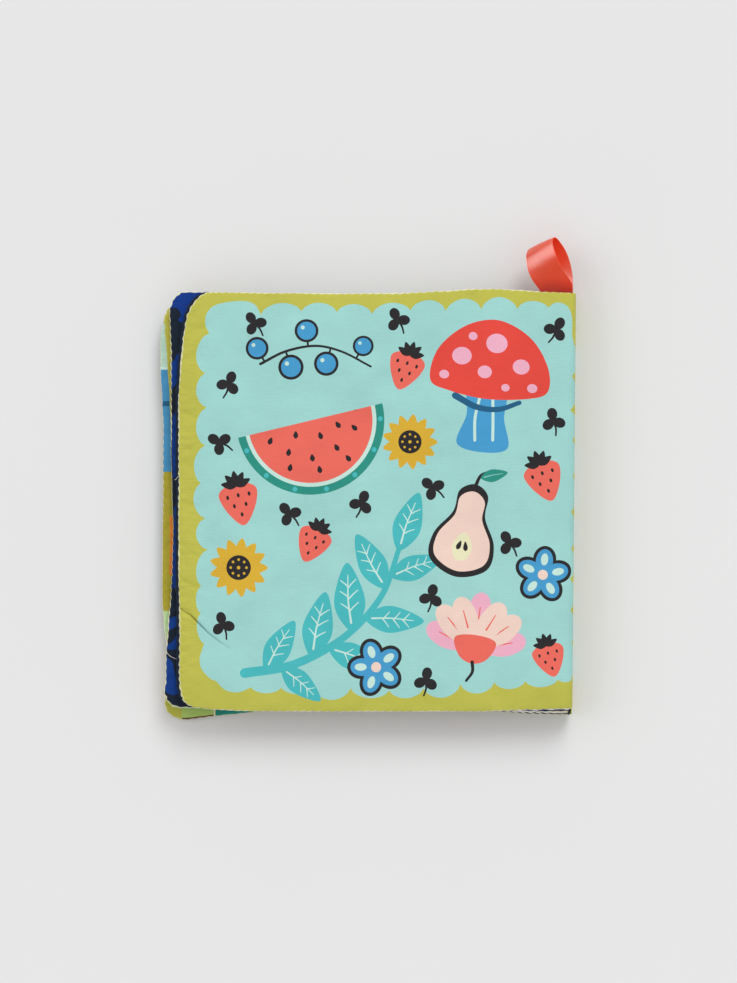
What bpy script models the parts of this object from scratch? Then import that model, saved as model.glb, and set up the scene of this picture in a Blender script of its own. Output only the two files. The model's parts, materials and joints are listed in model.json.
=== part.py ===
"""Baby soft book: two padded cloth sheets, folded one inside the other and sewn together
down the fold, which makes four leaves. It lies closed on its front cover, with the spine
at +X, the fore edge at -X and the head of the book, where the ribbon loop is, at +Y.

Each sheet is a printed outer cloth and a printed lining, sewn round three edges, with
wadding and a crinkle film inside each leaf. Both cloths run past the wadding, round the
spine and down to the binding thread, one nested in the other. A leaf turns about that
thread, so all the leaves share one hinge line. A cloth that is one piece on the real book
is drawn in two here, cut at the binding thread, because its halves turn apart.
"""

import math
from collections import namedtuple

import bmesh
import bpy
from mathutils import Matrix, Vector

# Leaves, from the binding line to the fore edge and from foot to head
BACK_LEAF_WIDTH = 0.1748
THIRD_LEAF_STEP = 0.0035
SECOND_LEAF_STEP = 0.0036
FRONT_LEAF_STEP = 0.0004
BACK_LEAF_HEIGHT = 0.1840
THIRD_LEAF_DROP = 0.0010
SECOND_LEAF_DROP = 0.0010
FRONT_LEAF_DROP = 0.0008
CORNER_RADIUS = 0.0100

# What a leaf is made of, through its thickness
LEAF_THICKNESS = 0.0046
CLOTH = 0.0005
FILM = 0.0001
CLEARANCE = 0.0003

# The crown: how far in from a seam a leaf swells to its full thickness
EDGE_REACH = 0.0280
CROWN_POWER = 2.4

# The spine, measured from the binding line
SPINE_SETBACK = 0.0002
SPINE_ROUND = 0.0030
FOLD_ROUND = 0.0024
STITCH_GAP = 0.0005
PAD_SETBACK = 0.0085
LINING_DROP = 0.0030
THREAD_DIAMETER = 0.0005
THREAD_TAIL = 0.0010

# The crinkle film is cut smaller than the leaf
FILM_MARGIN = 0.0050

# The ribbon loop in the head seam
RIBBON_WIDTH = 0.0150
RIBBON_THICKNESS = 0.0004
RIBBON_REACH = 0.0245
RIBBON_OPENING = 0.0088
RIBBON_FROM_SPINE = 0.0088
RIBBON_STANDOFF = 0.0006
RIBBON_LEAN = math.radians(18)
RIBBON_LEAN_SHARE = 0.5
LOOP_WIDEST_SHARE = 0.77
LOOP_POINTS = 27

# Where the grid lines of a leaf lie, as shares of the corner radius
CORNER_SHARES = (0, 0.18, 0.55, 1)
WRAP_STEPS = 4

SEAM_HALF = CLEARANCE / 2
HALF = LEAF_THICKNESS / 2
PITCH = LEAF_THICKNESS + CLEARANCE
LINING_INSET = CLOTH + CLEARANCE
WADDING_TOP_INSET = LINING_INSET + FILM + CLEARANCE

# How a cloth ends at the spine: how far its printed side stands from the binding line, the
# round that turns it down, and the height above that line at which it stops
Spine = namedtuple("Spine", "wall radius stop")
LINING_WALL = SPINE_SETBACK + CLOTH + CLEARANCE + CLOTH
INNER_WALL = LINING_WALL + CLEARANCE
COVER_SPINE = Spine(SPINE_SETBACK, SPINE_ROUND, STITCH_GAP)
LINING_SPINE = Spine(LINING_WALL, FOLD_ROUND + CLEARANCE, STITCH_GAP)
INNER_SPINE = Spine(INNER_WALL, FOLD_ROUND, SEAM_HALF + CLOTH + CLEARANCE)
SPREAD_SPINE = Spine(INNER_WALL, FOLD_ROUND, None)

Leaf = namedtuple("Leaf", "side middle width height")

THIRD_LEAF_WIDTH = BACK_LEAF_WIDTH + THIRD_LEAF_STEP
SECOND_LEAF_WIDTH = THIRD_LEAF_WIDTH + SECOND_LEAF_STEP
FRONT_LEAF_WIDTH = SECOND_LEAF_WIDTH + FRONT_LEAF_STEP
THIRD_LEAF_HEIGHT = BACK_LEAF_HEIGHT + THIRD_LEAF_DROP
SECOND_LEAF_HEIGHT = THIRD_LEAF_HEIGHT + SECOND_LEAF_DROP
FRONT_LEAF_HEIGHT = SECOND_LEAF_HEIGHT + FRONT_LEAF_DROP

# Heights count from the binding line, away from it: side is +1 above and -1 below
INNER_MIDDLE = PITCH / 2
OUTER_MIDDLE = INNER_MIDDLE + PITCH
BACK = Leaf(1, OUTER_MIDDLE, BACK_LEAF_WIDTH, BACK_LEAF_HEIGHT)
THIRD = Leaf(1, INNER_MIDDLE, THIRD_LEAF_WIDTH, THIRD_LEAF_HEIGHT)
SECOND = Leaf(-1, INNER_MIDDLE, SECOND_LEAF_WIDTH, SECOND_LEAF_HEIGHT)
FRONT = Leaf(-1, OUTER_MIDDLE, FRONT_LEAF_WIDTH, FRONT_LEAF_HEIGHT)


def clear_scene():
    for obj in list(bpy.data.objects):
        bpy.data.objects.remove(obj, do_unlink=True)


def finish(name, rgb, roughness, sheen=0.0):
    """A plain material in the piece's own colour."""
    made = bpy.data.materials.new(name)
    made.use_nodes = True
    shader = made.node_tree.nodes["Principled BSDF"]
    shader.inputs["Base Color"].default_value = (*rgb, 1)
    shader.inputs["Roughness"].default_value = roughness
    shader.inputs["Sheen Weight"].default_value = sheen
    made.diffuse_color = (*rgb, 1)
    return made


def crown(share):
    """How full a leaf is, from 0 at the seam to 1 at the end of its reach."""
    inward = 1 - min(max(share, 0), 1)
    return (1 - inward**CROWN_POWER) ** (1 / CROWN_POWER)


def fullness(depth, inset):
    return crown((depth - inset) / (EDGE_REACH - inset))


def rim_steps(inset):
    """Distances in from an inset outline at which the grid lines lie."""
    radius = CORNER_RADIUS - inset
    return [radius * share for share in CORNER_SHARES] + [EDGE_REACH - inset]


def rows_of(leaf, inset):
    """Distances up from the foot, from seam to seam."""
    height = leaf.height - 2 * inset
    near = rim_steps(inset)
    return near + [height - step for step in reversed(near)]


def plan_point(leaf, along, across, inset):
    """(x, y, depth in from the leaf's outline) of a grid point, with the fore corners rounded.

    along is counted from the fore edge and across from the foot, both on the inset outline.
    A square corner of the grid is drawn in to a quarter circle.
    """
    radius = CORNER_RADIUS - inset
    height = leaf.height - 2 * inset
    from_end = min(across, height - across)
    u = max(1 - along / radius, 0)
    v = max(1 - from_end / radius, 0)
    if u > 0 and v > 0:
        round_u = u * math.sqrt(1 - v * v / 2)
        round_v = v * math.sqrt(1 - u * u / 2)
        along = radius * (1 - round_u)
        from_end = radius * (1 - round_v)
        depth = radius * (1 - math.hypot(round_u, round_v))
    else:
        depth = min(along, from_end)
    up = from_end if across < height / 2 else height - from_end
    return inset + along - leaf.width, inset + up - leaf.height, depth + inset


def cloth_height(depth, inset):
    """From a leaf's middle plane to its cloth, or to a surface that lies inset under it."""
    return SEAM_HALF + (HALF - SEAM_HALF - inset) * fullness(depth, inset)


def wrap_round(leaf, printed, wanted, up, inset, spine):
    """(x, height) points that turn a cloth down at the spine and take it to the fold.

    printed and wanted are the row's heights on the printed side and on the side that is
    made. A cover bends away from its printed side, and a lining, whose up is -1, towards it.
    """
    full = leaf.middle + up * HALF
    drop = spine.radius * (printed - spine.stop) / (full - spine.stop)
    middle = printed - drop
    points = []
    for step in range(WRAP_STEPS + 1):
        turn = math.pi / 2 * step / WRAP_STEPS
        reach = (spine.radius - up * inset) * math.sin(turn)
        height = middle + (wanted - middle) * math.cos(turn)
        points.append((reach - spine.wall - spine.radius, height))
    points.append((-spine.wall - up * inset, spine.stop))
    return points


def run_out(leaf, wanted, inset, spine):
    """(x, height) points that bring the innermost lining down to the fold."""
    level = leaf.middle - HALF + inset
    half_way = (-PAD_SETBACK + LINING_DROP, (wanted + level) / 2)
    flat_from = (-spine.wall - spine.radius, level)
    return [(-PAD_SETBACK, wanted), half_way, flat_from, (-spine.wall, level)]


def cloth_surface(leaf, up, inset, spine):
    """Grid of one side of a cloth: inset is 0 on its printed side, CLOTH on its hidden one.

    up is +1 for the outer cloth of a sheet, over the leaf's wadding, and -1 for its lining.
    """
    rows = []
    for across in rows_of(leaf, inset):
        row = []
        for along in rim_steps(inset):
            x, y, depth = plan_point(leaf, along, across, inset)
            row.append((x, y, leaf.middle + up * cloth_height(depth, inset)))
        from_end = min(across, leaf.height - 2 * inset - across)
        printed = leaf.middle + up * cloth_height(from_end, 0)
        wanted = leaf.middle + up * cloth_height(from_end + inset, inset)
        if spine.stop is None:
            ending = run_out(leaf, wanted, inset, spine)
        else:
            ending = wrap_round(leaf, printed, wanted, up, inset, spine)
        row += [(x, inset + across - leaf.height, height) for x, height in ending]
        rows.append(row)
    return rows


def filling_rows(leaf, inset, draws_in, height_of):
    """Grid of a piece inside a leaf, which stops short of the spine."""
    spine_end = leaf.width - PAD_SETBACK - inset
    columns = rim_steps(inset)
    if draws_in:
        columns = columns + [spine_end - step for step in reversed(rim_steps(inset))]
    else:
        columns = columns + [spine_end]
    rows = []
    for across in rows_of(leaf, inset):
        row = []
        for along in columns:
            x, y, depth = plan_point(leaf, along, across, inset)
            if draws_in:
                depth = min(depth, spine_end - along + inset)
            row.append((x, y, leaf.middle + height_of(depth)))
        rows.append(row)
    return rows


def wadding_surfaces(leaf):
    inset = LINING_INSET
    top = HALF - WADDING_TOP_INSET
    bottom = HALF - LINING_INSET
    upper = filling_rows(leaf, inset, True, lambda depth: top * fullness(depth, inset))
    lower = filling_rows(leaf, inset, True, lambda depth: -bottom * fullness(depth, inset))
    return upper, lower


def film_surfaces(leaf):
    over = LINING_INSET
    under = LINING_INSET + FILM
    upper = filling_rows(leaf, FILM_MARGIN, False, lambda depth: cloth_height(depth, over))
    lower = filling_rows(leaf, FILM_MARGIN, False, lambda depth: cloth_height(depth, under))
    return upper, lower


def border_of(rows, columns):
    """The grid's border as (row, column) pairs, once round."""
    foot = [(0, c) for c in range(columns)]
    spine = [(r, columns - 1) for r in range(1, rows)]
    head = [(rows - 1, c) for c in range(columns - 2, -1, -1)]
    fore = [(r, 0) for r in range(rows - 2, 0, -1)]
    return foot + spine + head + fore


def faces_of(bm, grid, turned):
    """Quads over a grid of vertices, facing up, or down where turned."""
    for low, high in zip(grid, grid[1:]):
        for c in range(len(low) - 1):
            corners = [low[c], low[c + 1], high[c + 1], high[c]]
            bm.faces.new(corners[::-1] if turned else corners)


def mean_height(grid):
    heights = [point[2] for row in grid for point in row]
    return sum(heights) / len(heights)


def closed_between(name, first, second, side):
    """A closed mesh between two grids of like size. Grids that share their border close on it."""
    if mean_height(first) < mean_height(second):
        first, second = second, first
    bm = bmesh.new()
    grids = []
    for grid in (first, second):
        grids.append([[bm.verts.new((x, y, side * z)) for x, y, z in row] for row in grid])
    top, bottom = grids
    faces_of(bm, top, False)
    faces_of(bm, bottom, True)
    ring = border_of(len(first), len(first[0]))
    if first[0][0] != second[0][0]:
        for here, there in zip(ring, ring[1:] + ring[:1]):
            a, b = top[there[0]][there[1]], top[here[0]][here[1]]
            c, d = bottom[here[0]][here[1]], bottom[there[0]][there[1]]
            bm.faces.new((a, b, c, d))
    else:
        same = {bottom[r][c]: top[r][c] for r, c in ring}
        bmesh.ops.weld_verts(bm, targetmap=same)
    if side < 0:
        bmesh.ops.reverse_faces(bm, faces=bm.faces)
    mesh = bpy.data.meshes.new(name)
    bm.to_mesh(mesh)
    bm.free()
    mesh.shade_smooth()
    mesh.set_sharp_from_angle(angle=math.radians(40))
    return mesh


def add_piece(name, mesh, material, hinge):
    obj = bpy.data.objects.new(name, mesh)
    bpy.context.collection.objects.link(obj)
    mesh.materials.append(material)
    obj.parent = hinge
    return obj


def add_cloth(name, leaf, up, hinge, material, spine):
    """A printed cloth, which has its thickness between its printed and its hidden side."""
    printed = cloth_surface(leaf, up, 0, spine)
    hidden = cloth_surface(leaf, up, CLOTH, spine)
    add_piece(name, closed_between(name, printed, hidden, leaf.side), material, hinge)


def add_filling(prefix, leaf, hinge, wadding, film):
    name = prefix + "_wadding"
    add_piece(name, closed_between(name, *wadding_surfaces(leaf), leaf.side), wadding, hinge)
    name = prefix + "_crinkle_film"
    add_piece(name, closed_between(name, *film_surfaces(leaf), leaf.side), film, hinge)


def loop_line():
    """(y, z) points of the ribbon's middle line: out of the seam, round the loop and back."""
    tip = RIBBON_REACH - RIBBON_THICKNESS / 2
    swell = (RIBBON_OPENING / 2 - RIBBON_THICKNESS / 2) / LOOP_WIDEST_SHARE
    apart = (RIBBON_THICKNESS + CLEARANCE) / 2
    first = math.acos(1 - 2 * RIBBON_STANDOFF / tip)
    points = []
    for step in range(LOOP_POINTS):
        turn = first + (2 * math.pi - 2 * first) * step / (LOOP_POINTS - 1)
        y = tip * (1 - math.cos(turn)) / 2
        rise = swell * math.sin(turn) * math.sin(turn / 2)
        closing = apart * (1 - y / tip) * (1 if turn < math.pi else -1)
        points.append((y, rise + closing))
    return points


def add_ribbon(hinge, material):
    """A flat ribbon, looped, with both ends at the seam. It leans towards the fore edge."""
    bm = bmesh.new()
    half = RIBBON_WIDTH / 2
    pairs = []
    for y, z in loop_line():
        pairs.append([bm.verts.new((x, y, z)) for x in (-half, half)])
    for (a, b), (c, d) in zip(pairs, pairs[1:]):
        bm.faces.new((a, b, d, c))
    lean = Matrix.Rotation(RIBBON_LEAN, 3, "Z")
    pivot = Vector((half, RIBBON_STANDOFF, 0))
    for vert in bm.verts:
        share = (vert.co.y - RIBBON_STANDOFF) / (RIBBON_REACH - RIBBON_STANDOFF)
        leant = lean @ (vert.co - pivot) + pivot
        vert.co = vert.co.lerp(leant, min(share / RIBBON_LEAN_SHARE, 1))
    mesh = bpy.data.meshes.new("ribbon_loop")
    bm.to_mesh(mesh)
    bm.free()
    mesh.shade_smooth()
    loop = add_piece("ribbon_loop", mesh, material, hinge)
    wall = loop.modifiers.new("Ribbon thickness", "SOLIDIFY")
    wall.thickness = RIBBON_THICKNESS
    wall.offset = 0
    return loop


def add_thread(hinge, material):
    """The binding thread, on the line about which the leaves turn."""
    bm = bmesh.new()
    length = BACK_LEAF_HEIGHT - 2 * THREAD_TAIL
    radius = THREAD_DIAMETER / 2
    bmesh.ops.create_cone(
        bm, cap_ends=True, segments=10, radius1=radius, radius2=radius, depth=length
    )
    lay = Matrix.Rotation(math.pi / 2, 4, "X")
    middle = Matrix.Translation((0, -BACK_LEAF_HEIGHT / 2, 0))
    bmesh.ops.transform(bm, matrix=middle @ lay, verts=bm.verts)
    mesh = bpy.data.meshes.new("binding_thread")
    bm.to_mesh(mesh)
    bm.free()
    mesh.shade_smooth()
    mesh.set_sharp_from_angle(angle=math.radians(40))
    add_piece("binding_thread", mesh, material, hinge)


def add_hinge(name, place, parent=None):
    """An empty on a hinge line, which carries the pieces that turn with it."""
    hinge = bpy.data.objects.new(name, None)
    bpy.context.collection.objects.link(hinge)
    hinge.location = place
    hinge.parent = parent
    return hinge


def add_leaf(leaf, prefix, hinge, cover, lining, filling):
    """cover and lining are (name, material, spine), and filling is (wadding, film)."""
    add_cloth(cover[0], leaf, 1, hinge, cover[1], cover[2])
    add_cloth(lining[0], leaf, -1, hinge, lining[1], lining[2])
    add_filling(prefix, leaf, hinge, *filling)


def ribbon_top(ribbon):
    """How far the ribbon stands past the head seam."""
    bpy.context.view_layer.update()
    evaluated = ribbon.evaluated_get(bpy.context.evaluated_depsgraph_get())
    return max(vert.co.y for vert in evaluated.data.vertices)


def build_book():
    clear_scene()
    head = BACK_LEAF_HEIGHT / 2
    binding = Vector(((FRONT_LEAF_WIDTH - THREAD_DIAMETER / 2) / 2, head, OUTER_MIDDLE + HALF))
    front_hinge = add_hinge("front_leaf_hinge", binding)
    second_hinge = add_hinge("second_leaf_hinge", (0, 0, 0), front_hinge)
    third_hinge = add_hinge("third_leaf_hinge", (0, 0, 0), second_hinge)
    back_hinge = add_hinge("back_leaf_hinge", (0, 0, 0), third_hinge)
    ribbon_hinge = add_hinge("ribbon_hinge", (-RIBBON_FROM_SPINE, 0, OUTER_MIDDLE), back_hinge)

    wadding = finish("Polyester wadding", (0.87, 0.87, 0.84), 0.95)
    film = finish("Crinkle film", (0.78, 0.80, 0.82), 0.25)
    lime = finish("Lime printed polyester", (0.50, 0.49, 0.065), 0.8, 0.3)
    aqua = finish("Aqua printed polyester", (0.34, 0.67, 0.61), 0.8, 0.3)
    navy = finish("Navy printed polyester", (0.010, 0.017, 0.040), 0.8, 0.3)
    sky = finish("Sky blue printed polyester", (0.055, 0.240, 0.515), 0.8, 0.3)
    grass = finish("Grass green printed polyester", (0.240, 0.402, 0.102), 0.8, 0.3)
    yellow = finish("Yellow printed polyester", (0.73, 0.42, 0.03), 0.8, 0.3)
    coral = finish("Coral satin ribbon", (0.75, 0.075, 0.035), 0.35)
    white = finish("White polyester thread", (0.85, 0.85, 0.83), 0.6)

    filling = (wadding, film)
    add_leaf(
        FRONT, "front_leaf", front_hinge,
        ("front_cover_cloth", lime, COVER_SPINE), ("page_1_cloth", grass, LINING_SPINE), filling,
    )
    add_leaf(
        SECOND, "second_leaf", second_hinge,
        ("page_2_cloth", sky, INNER_SPINE), ("page_3_cloth", aqua, SPREAD_SPINE), filling,
    )
    add_leaf(
        THIRD, "third_leaf", third_hinge,
        ("page_5_cloth", navy, INNER_SPINE), ("page_4_cloth", yellow, SPREAD_SPINE), filling,
    )
    add_leaf(
        BACK, "back_leaf", back_hinge,
        ("back_cover_cloth", aqua, COVER_SPINE), ("page_6_cloth", navy, LINING_SPINE), filling,
    )
    add_thread(front_hinge, white)
    ribbon = add_ribbon(ribbon_hinge, coral)
    front_hinge.location.y = (FRONT_LEAF_HEIGHT - ribbon_top(ribbon)) / 2


build_book()
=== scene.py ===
"""Looks of the baby soft book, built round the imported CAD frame.

Every leaf is two printed cloths, sewn round three edges over wadding and a crinkle film. The
cloths are cut flat, printed, and laid over the leaf: a cloth simulation gives each leaf the
puffed, slightly wrinkled skin of a stuffed pad, and the seams pull their ripples into it.
"""

import json
import math
from collections import namedtuple

import bpy
import numpy as np
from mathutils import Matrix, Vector, kdtree, noise
from mathutils.geometry import delaunay_2d_cdt


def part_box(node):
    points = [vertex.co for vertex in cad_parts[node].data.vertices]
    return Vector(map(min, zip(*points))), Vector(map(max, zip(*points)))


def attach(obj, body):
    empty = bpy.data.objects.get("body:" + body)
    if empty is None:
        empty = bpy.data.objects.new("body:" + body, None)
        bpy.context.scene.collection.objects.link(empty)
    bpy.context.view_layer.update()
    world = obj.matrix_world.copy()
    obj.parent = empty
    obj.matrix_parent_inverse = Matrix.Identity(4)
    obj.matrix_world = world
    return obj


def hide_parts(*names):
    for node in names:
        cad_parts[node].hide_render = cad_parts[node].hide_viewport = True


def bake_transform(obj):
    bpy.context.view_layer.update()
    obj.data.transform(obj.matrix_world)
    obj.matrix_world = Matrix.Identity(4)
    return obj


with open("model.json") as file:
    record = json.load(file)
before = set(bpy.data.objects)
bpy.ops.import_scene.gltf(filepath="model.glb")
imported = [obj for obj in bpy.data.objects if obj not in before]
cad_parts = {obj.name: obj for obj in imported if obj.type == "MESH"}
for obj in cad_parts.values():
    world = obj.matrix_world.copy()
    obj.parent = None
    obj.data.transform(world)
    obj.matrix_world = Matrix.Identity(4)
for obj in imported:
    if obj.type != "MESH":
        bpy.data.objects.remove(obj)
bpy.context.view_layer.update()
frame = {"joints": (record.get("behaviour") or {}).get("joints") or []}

bl_info = {
    "name": "Baby soft book",
    "version": (1, 0, 0),
    "blender": (4, 5, 0),
    "location": "View3D > Sidebar > Soft book",
    "description": "Builds a baby soft book's printed cloths, wadding, seams, ribbon and stage",
    "category": "Object",
}

MM = 0.001

# The leaves as the frame holds them. Heights count from the binding line, away from it
HINGE = Vector(frame["joints"][0]["pos_m"])
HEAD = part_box("back_cover_cloth")[1].y
LEAF_THICKNESS = 0.0046
LEAF_PITCH = 0.0049
CORNER_RADIUS = 0.0100
EDGE_REACH = 0.0280  # how far in from its edge a leaf reaches its full thickness
CROWN_POWER = 2.4
SEAM_HALF = 0.00015
PAD_SETBACK = 0.0085  # how far short of the binding line the padding stops
HALF = LEAF_THICKNESS / 2

Leaf = namedtuple("Leaf", "name side middle width height")
Spine = namedtuple("Spine", "wall radius stop")


class Cloth(namedtuple("Cloth", "name leaf up spine print_name")):
    """One printed side of a leaf, flat from the seam at the fore edge to its end at the spine."""

    @property
    def run(self):
        """How far it lies flat, up to the round of the spine."""
        return self.leaf.width - self.spine.wall - self.spine.radius

    @property
    def wall(self):
        """The length of the straight wall below the round."""
        return self.leaf.middle + self.up * HALF - self.spine.radius - self.spine.stop

    @property
    def length(self):
        if self.spine.stop is None:
            return self.leaf.width - self.spine.wall
        return self.run + self.spine.radius * math.pi / 2 + self.wall


def leaf_of(name, node, side, middle):
    low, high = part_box(node)
    return Leaf(name, side, middle, HINGE.x - low.x, high.y - low.y)


BACK = leaf_of("back_leaf", "back_cover_cloth", 1, 1.5 * LEAF_PITCH)
THIRD = leaf_of("third_leaf", "page_5_cloth", 1, 0.5 * LEAF_PITCH)
SECOND = leaf_of("second_leaf", "page_2_cloth", -1, 0.5 * LEAF_PITCH)
FRONT = leaf_of("front_leaf", "front_cover_cloth", -1, 1.5 * LEAF_PITCH)
LEAVES = (FRONT, SECOND, THIRD, BACK)

# How each cloth ends at the spine: its wall's distance from the binding line, the round
# that turns it down, and the height at which it stops beside the stitches
COVER_SPINE = Spine(0.0002, 0.0030, 0.00038)
LINING_SPINE = Spine(0.0015, 0.0027, 0.0005)
INNER_SPINE = Spine(0.0018, 0.0024, 0.00095)
SPREAD_SPINE = Spine(0.0018, 0.0024, None)

CLOTHS = (
    Cloth("back_cover", BACK, 1, COVER_SPINE, "aqua_print"),
    Cloth("page_6", BACK, -1, LINING_SPINE, "navy_print"),
    Cloth("page_5", THIRD, 1, INNER_SPINE, "navy_print"),
    Cloth("page_4", THIRD, -1, SPREAD_SPINE, "yellow_print"),
    Cloth("page_3", SECOND, -1, SPREAD_SPINE, "aqua_print"),
    Cloth("page_2", SECOND, 1, INNER_SPINE, "sky_print"),
    Cloth("page_1", FRONT, -1, LINING_SPINE, "grass_print"),
    Cloth("front_cover", FRONT, 1, COVER_SPINE, "lime_print"),
)

# Printed colours, as sRGB
COLOURS = {
    "lime": ("BFBD50", "Border, spine and scallops"),
    "aqua": ("A0D5D0", "Cover ground"),
    "pale_aqua": ("C6E6DC", "Leaf veins and clouds"),
    "teal": ("4ABABE", "Large leaves"),
    "coral": ("EC6C5E", "Fruit flesh"),
    "red": ("E64B40", "Mushroom caps"),
    "pink": ("EFB0C6", "Blossoms and dots"),
    "peach": ("F1D3C5", "Pale petals"),
    "blue": ("479CCD", "Blue flowers"),
    "mustard": ("D9AE37", "Sunflower petals"),
    "black": ("2C2A2C", "Outlines and seeds"),
    "navy": ("172332", "Night ground"),
    "royal": ("0D388A", "Night brush marks"),
    "deep_royal": ("0D3A86", "Dimmer night brush marks"),
    "cream": ("E9E6BE", "Unprinted cloth"),
    "white": ("F3F3EE", "Stars"),
    "grass": ("88AC5B", "Meadow"),
    "pale_grass": ("BADCA2", "Far meadow"),
    # painted light: the meadow drawn lighter along page 1's foot, against the shade that falls
    # there
    "foot_grass": ("B2D072", "Near meadow"),
    # painted shadow: a dark brown line along page 1's foot edge, where the leaf's edge falls into
    # shade
    "umber": ("6E4A33", "Line of earth"),
    "leaf_green": ("5F9A56", "Stems"),
    "olive": ("ABA035", "Hill"),
    "sky": ("4991BF", "Sky"),
    "deep_sky": ("255F84", "Sky bands"),
    "mist": ("B4D3C1", "Pale band"),
    "orange": ("E0863A", "Far hill line"),
    "deep_teal": ("2D9182", "Dark leaves"),
    "ribbon": ("D8422E", "Satin ribbon"),
    "thread": ("EEEBDF", "Sewing thread"),
}


def linear(text):
    """An sRGB hex colour as linear RGBA."""
    parts = [int(text[i:i + 2], 16) / 255 for i in (0, 2, 4)]
    return (*[c / 12.92 if c <= 0.04045 else ((c + 0.055) / 1.055) ** 2.4 for c in parts], 1.0)


SIZES = {
    "cloth": (0.0004, "Thickness of the printed cloth"),
    "cover_mesh": (0.0015, "Spacing of the covers' points"),
    "page_mesh": (0.0020, "Spacing of the pages' points"),
    "weave": (0.00062, "Thread spacing of the cloth, as drawn"),
    "stitch": (0.0035, "Length of a seam stitch"),
    "ripple": (0.00038, "How far the seam stitches pull the edge in"),
    "seam_thread": (0.00019, "Radius of the thread that shows in the seam"),
    "binding_thread": (0.00028, "Radius of the binding stitches"),
    "ribbon": (0.00032, "Thickness of the satin ribbon"),
}


class SoftBookSizes(bpy.types.PropertyGroup):
    """Sizes of the cloth, its meshes, the stitches and the ribbon"""


class SoftBookColours(bpy.types.PropertyGroup):
    """Colours of the inks, the ribbon and the thread"""


def titled(key):
    return key.replace("_", " ").capitalize()


SoftBookSizes.__annotations__ = {
    key: bpy.props.FloatProperty(
        name=titled(key), description=use, default=size, unit="LENGTH", precision=5)
    for key, (size, use) in SIZES.items()
}


SoftBookColours.__annotations__ = {
    key: bpy.props.FloatVectorProperty(
        name=titled(key), description=use, subtype="COLOR", size=4, min=0, max=1,
        default=linear(text))
    for key, (text, use) in COLOURS.items()
}


def sizes():
    return bpy.context.scene.soft_book_sizes


def colour(key):
    return tuple(getattr(bpy.context.scene.soft_book_colours, key))


# ---------------------------------------------------------------- shape of a leaf


def crown(share):
    inward = 1 - np.clip(share, 0, 1)
    return (1 - inward**CROWN_POWER) ** (1 / CROWN_POWER)


def smooth(low, high, value):
    t = np.clip((value - low) / (high - low), 0, 1)
    return t * t * (3 - 2 * t)


def rim_of(leaf, p, q):
    """Depth in from the leaf's outline, the way out there, and the distance round the rim."""
    r = CORNER_RADIUS
    from_end = np.minimum(q, leaf.height - q)
    toward = np.where(q < leaf.height / 2, -1.0, 1.0)
    cu, cv = r - p, r - from_end
    corner = (cu > 0) & (cv > 0)
    reach = np.maximum(np.hypot(cu, cv), 1e-9)
    fore = p < from_end
    depth = np.where(corner, r - reach, np.minimum(p, from_end))
    out_x = np.where(corner, -cu / reach, np.where(fore, -1.0, 0.0))
    out_y = np.where(corner, toward * cv / reach, np.where(fore, 0.0, toward))
    angle = np.arctan2(np.maximum(cv, 0), np.maximum(cu, 1e-12))
    beyond = np.where(corner, r * angle, np.where(fore, from_end * 0, r * math.pi / 2 + p - r))
    along = np.where(
        fore & ~corner, q,
        np.where(toward < 0, r - beyond, leaf.height - r + beyond))
    return depth, out_x, out_y, along


def edge_curve(anchors, at):
    """A smooth curve through (place, shift) anchors, in millimetres, returned in metres."""
    xs, ys = np.array(anchors, float).T
    at = np.clip(at / MM, xs[0], xs[-1])
    i = np.clip(np.searchsorted(xs, at, side="right") - 1, 0, len(xs) - 2)
    t = smooth(xs[i], xs[i + 1], at)
    return (ys[i] * (1 - t) + ys[i + 1] * t) * MM


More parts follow.
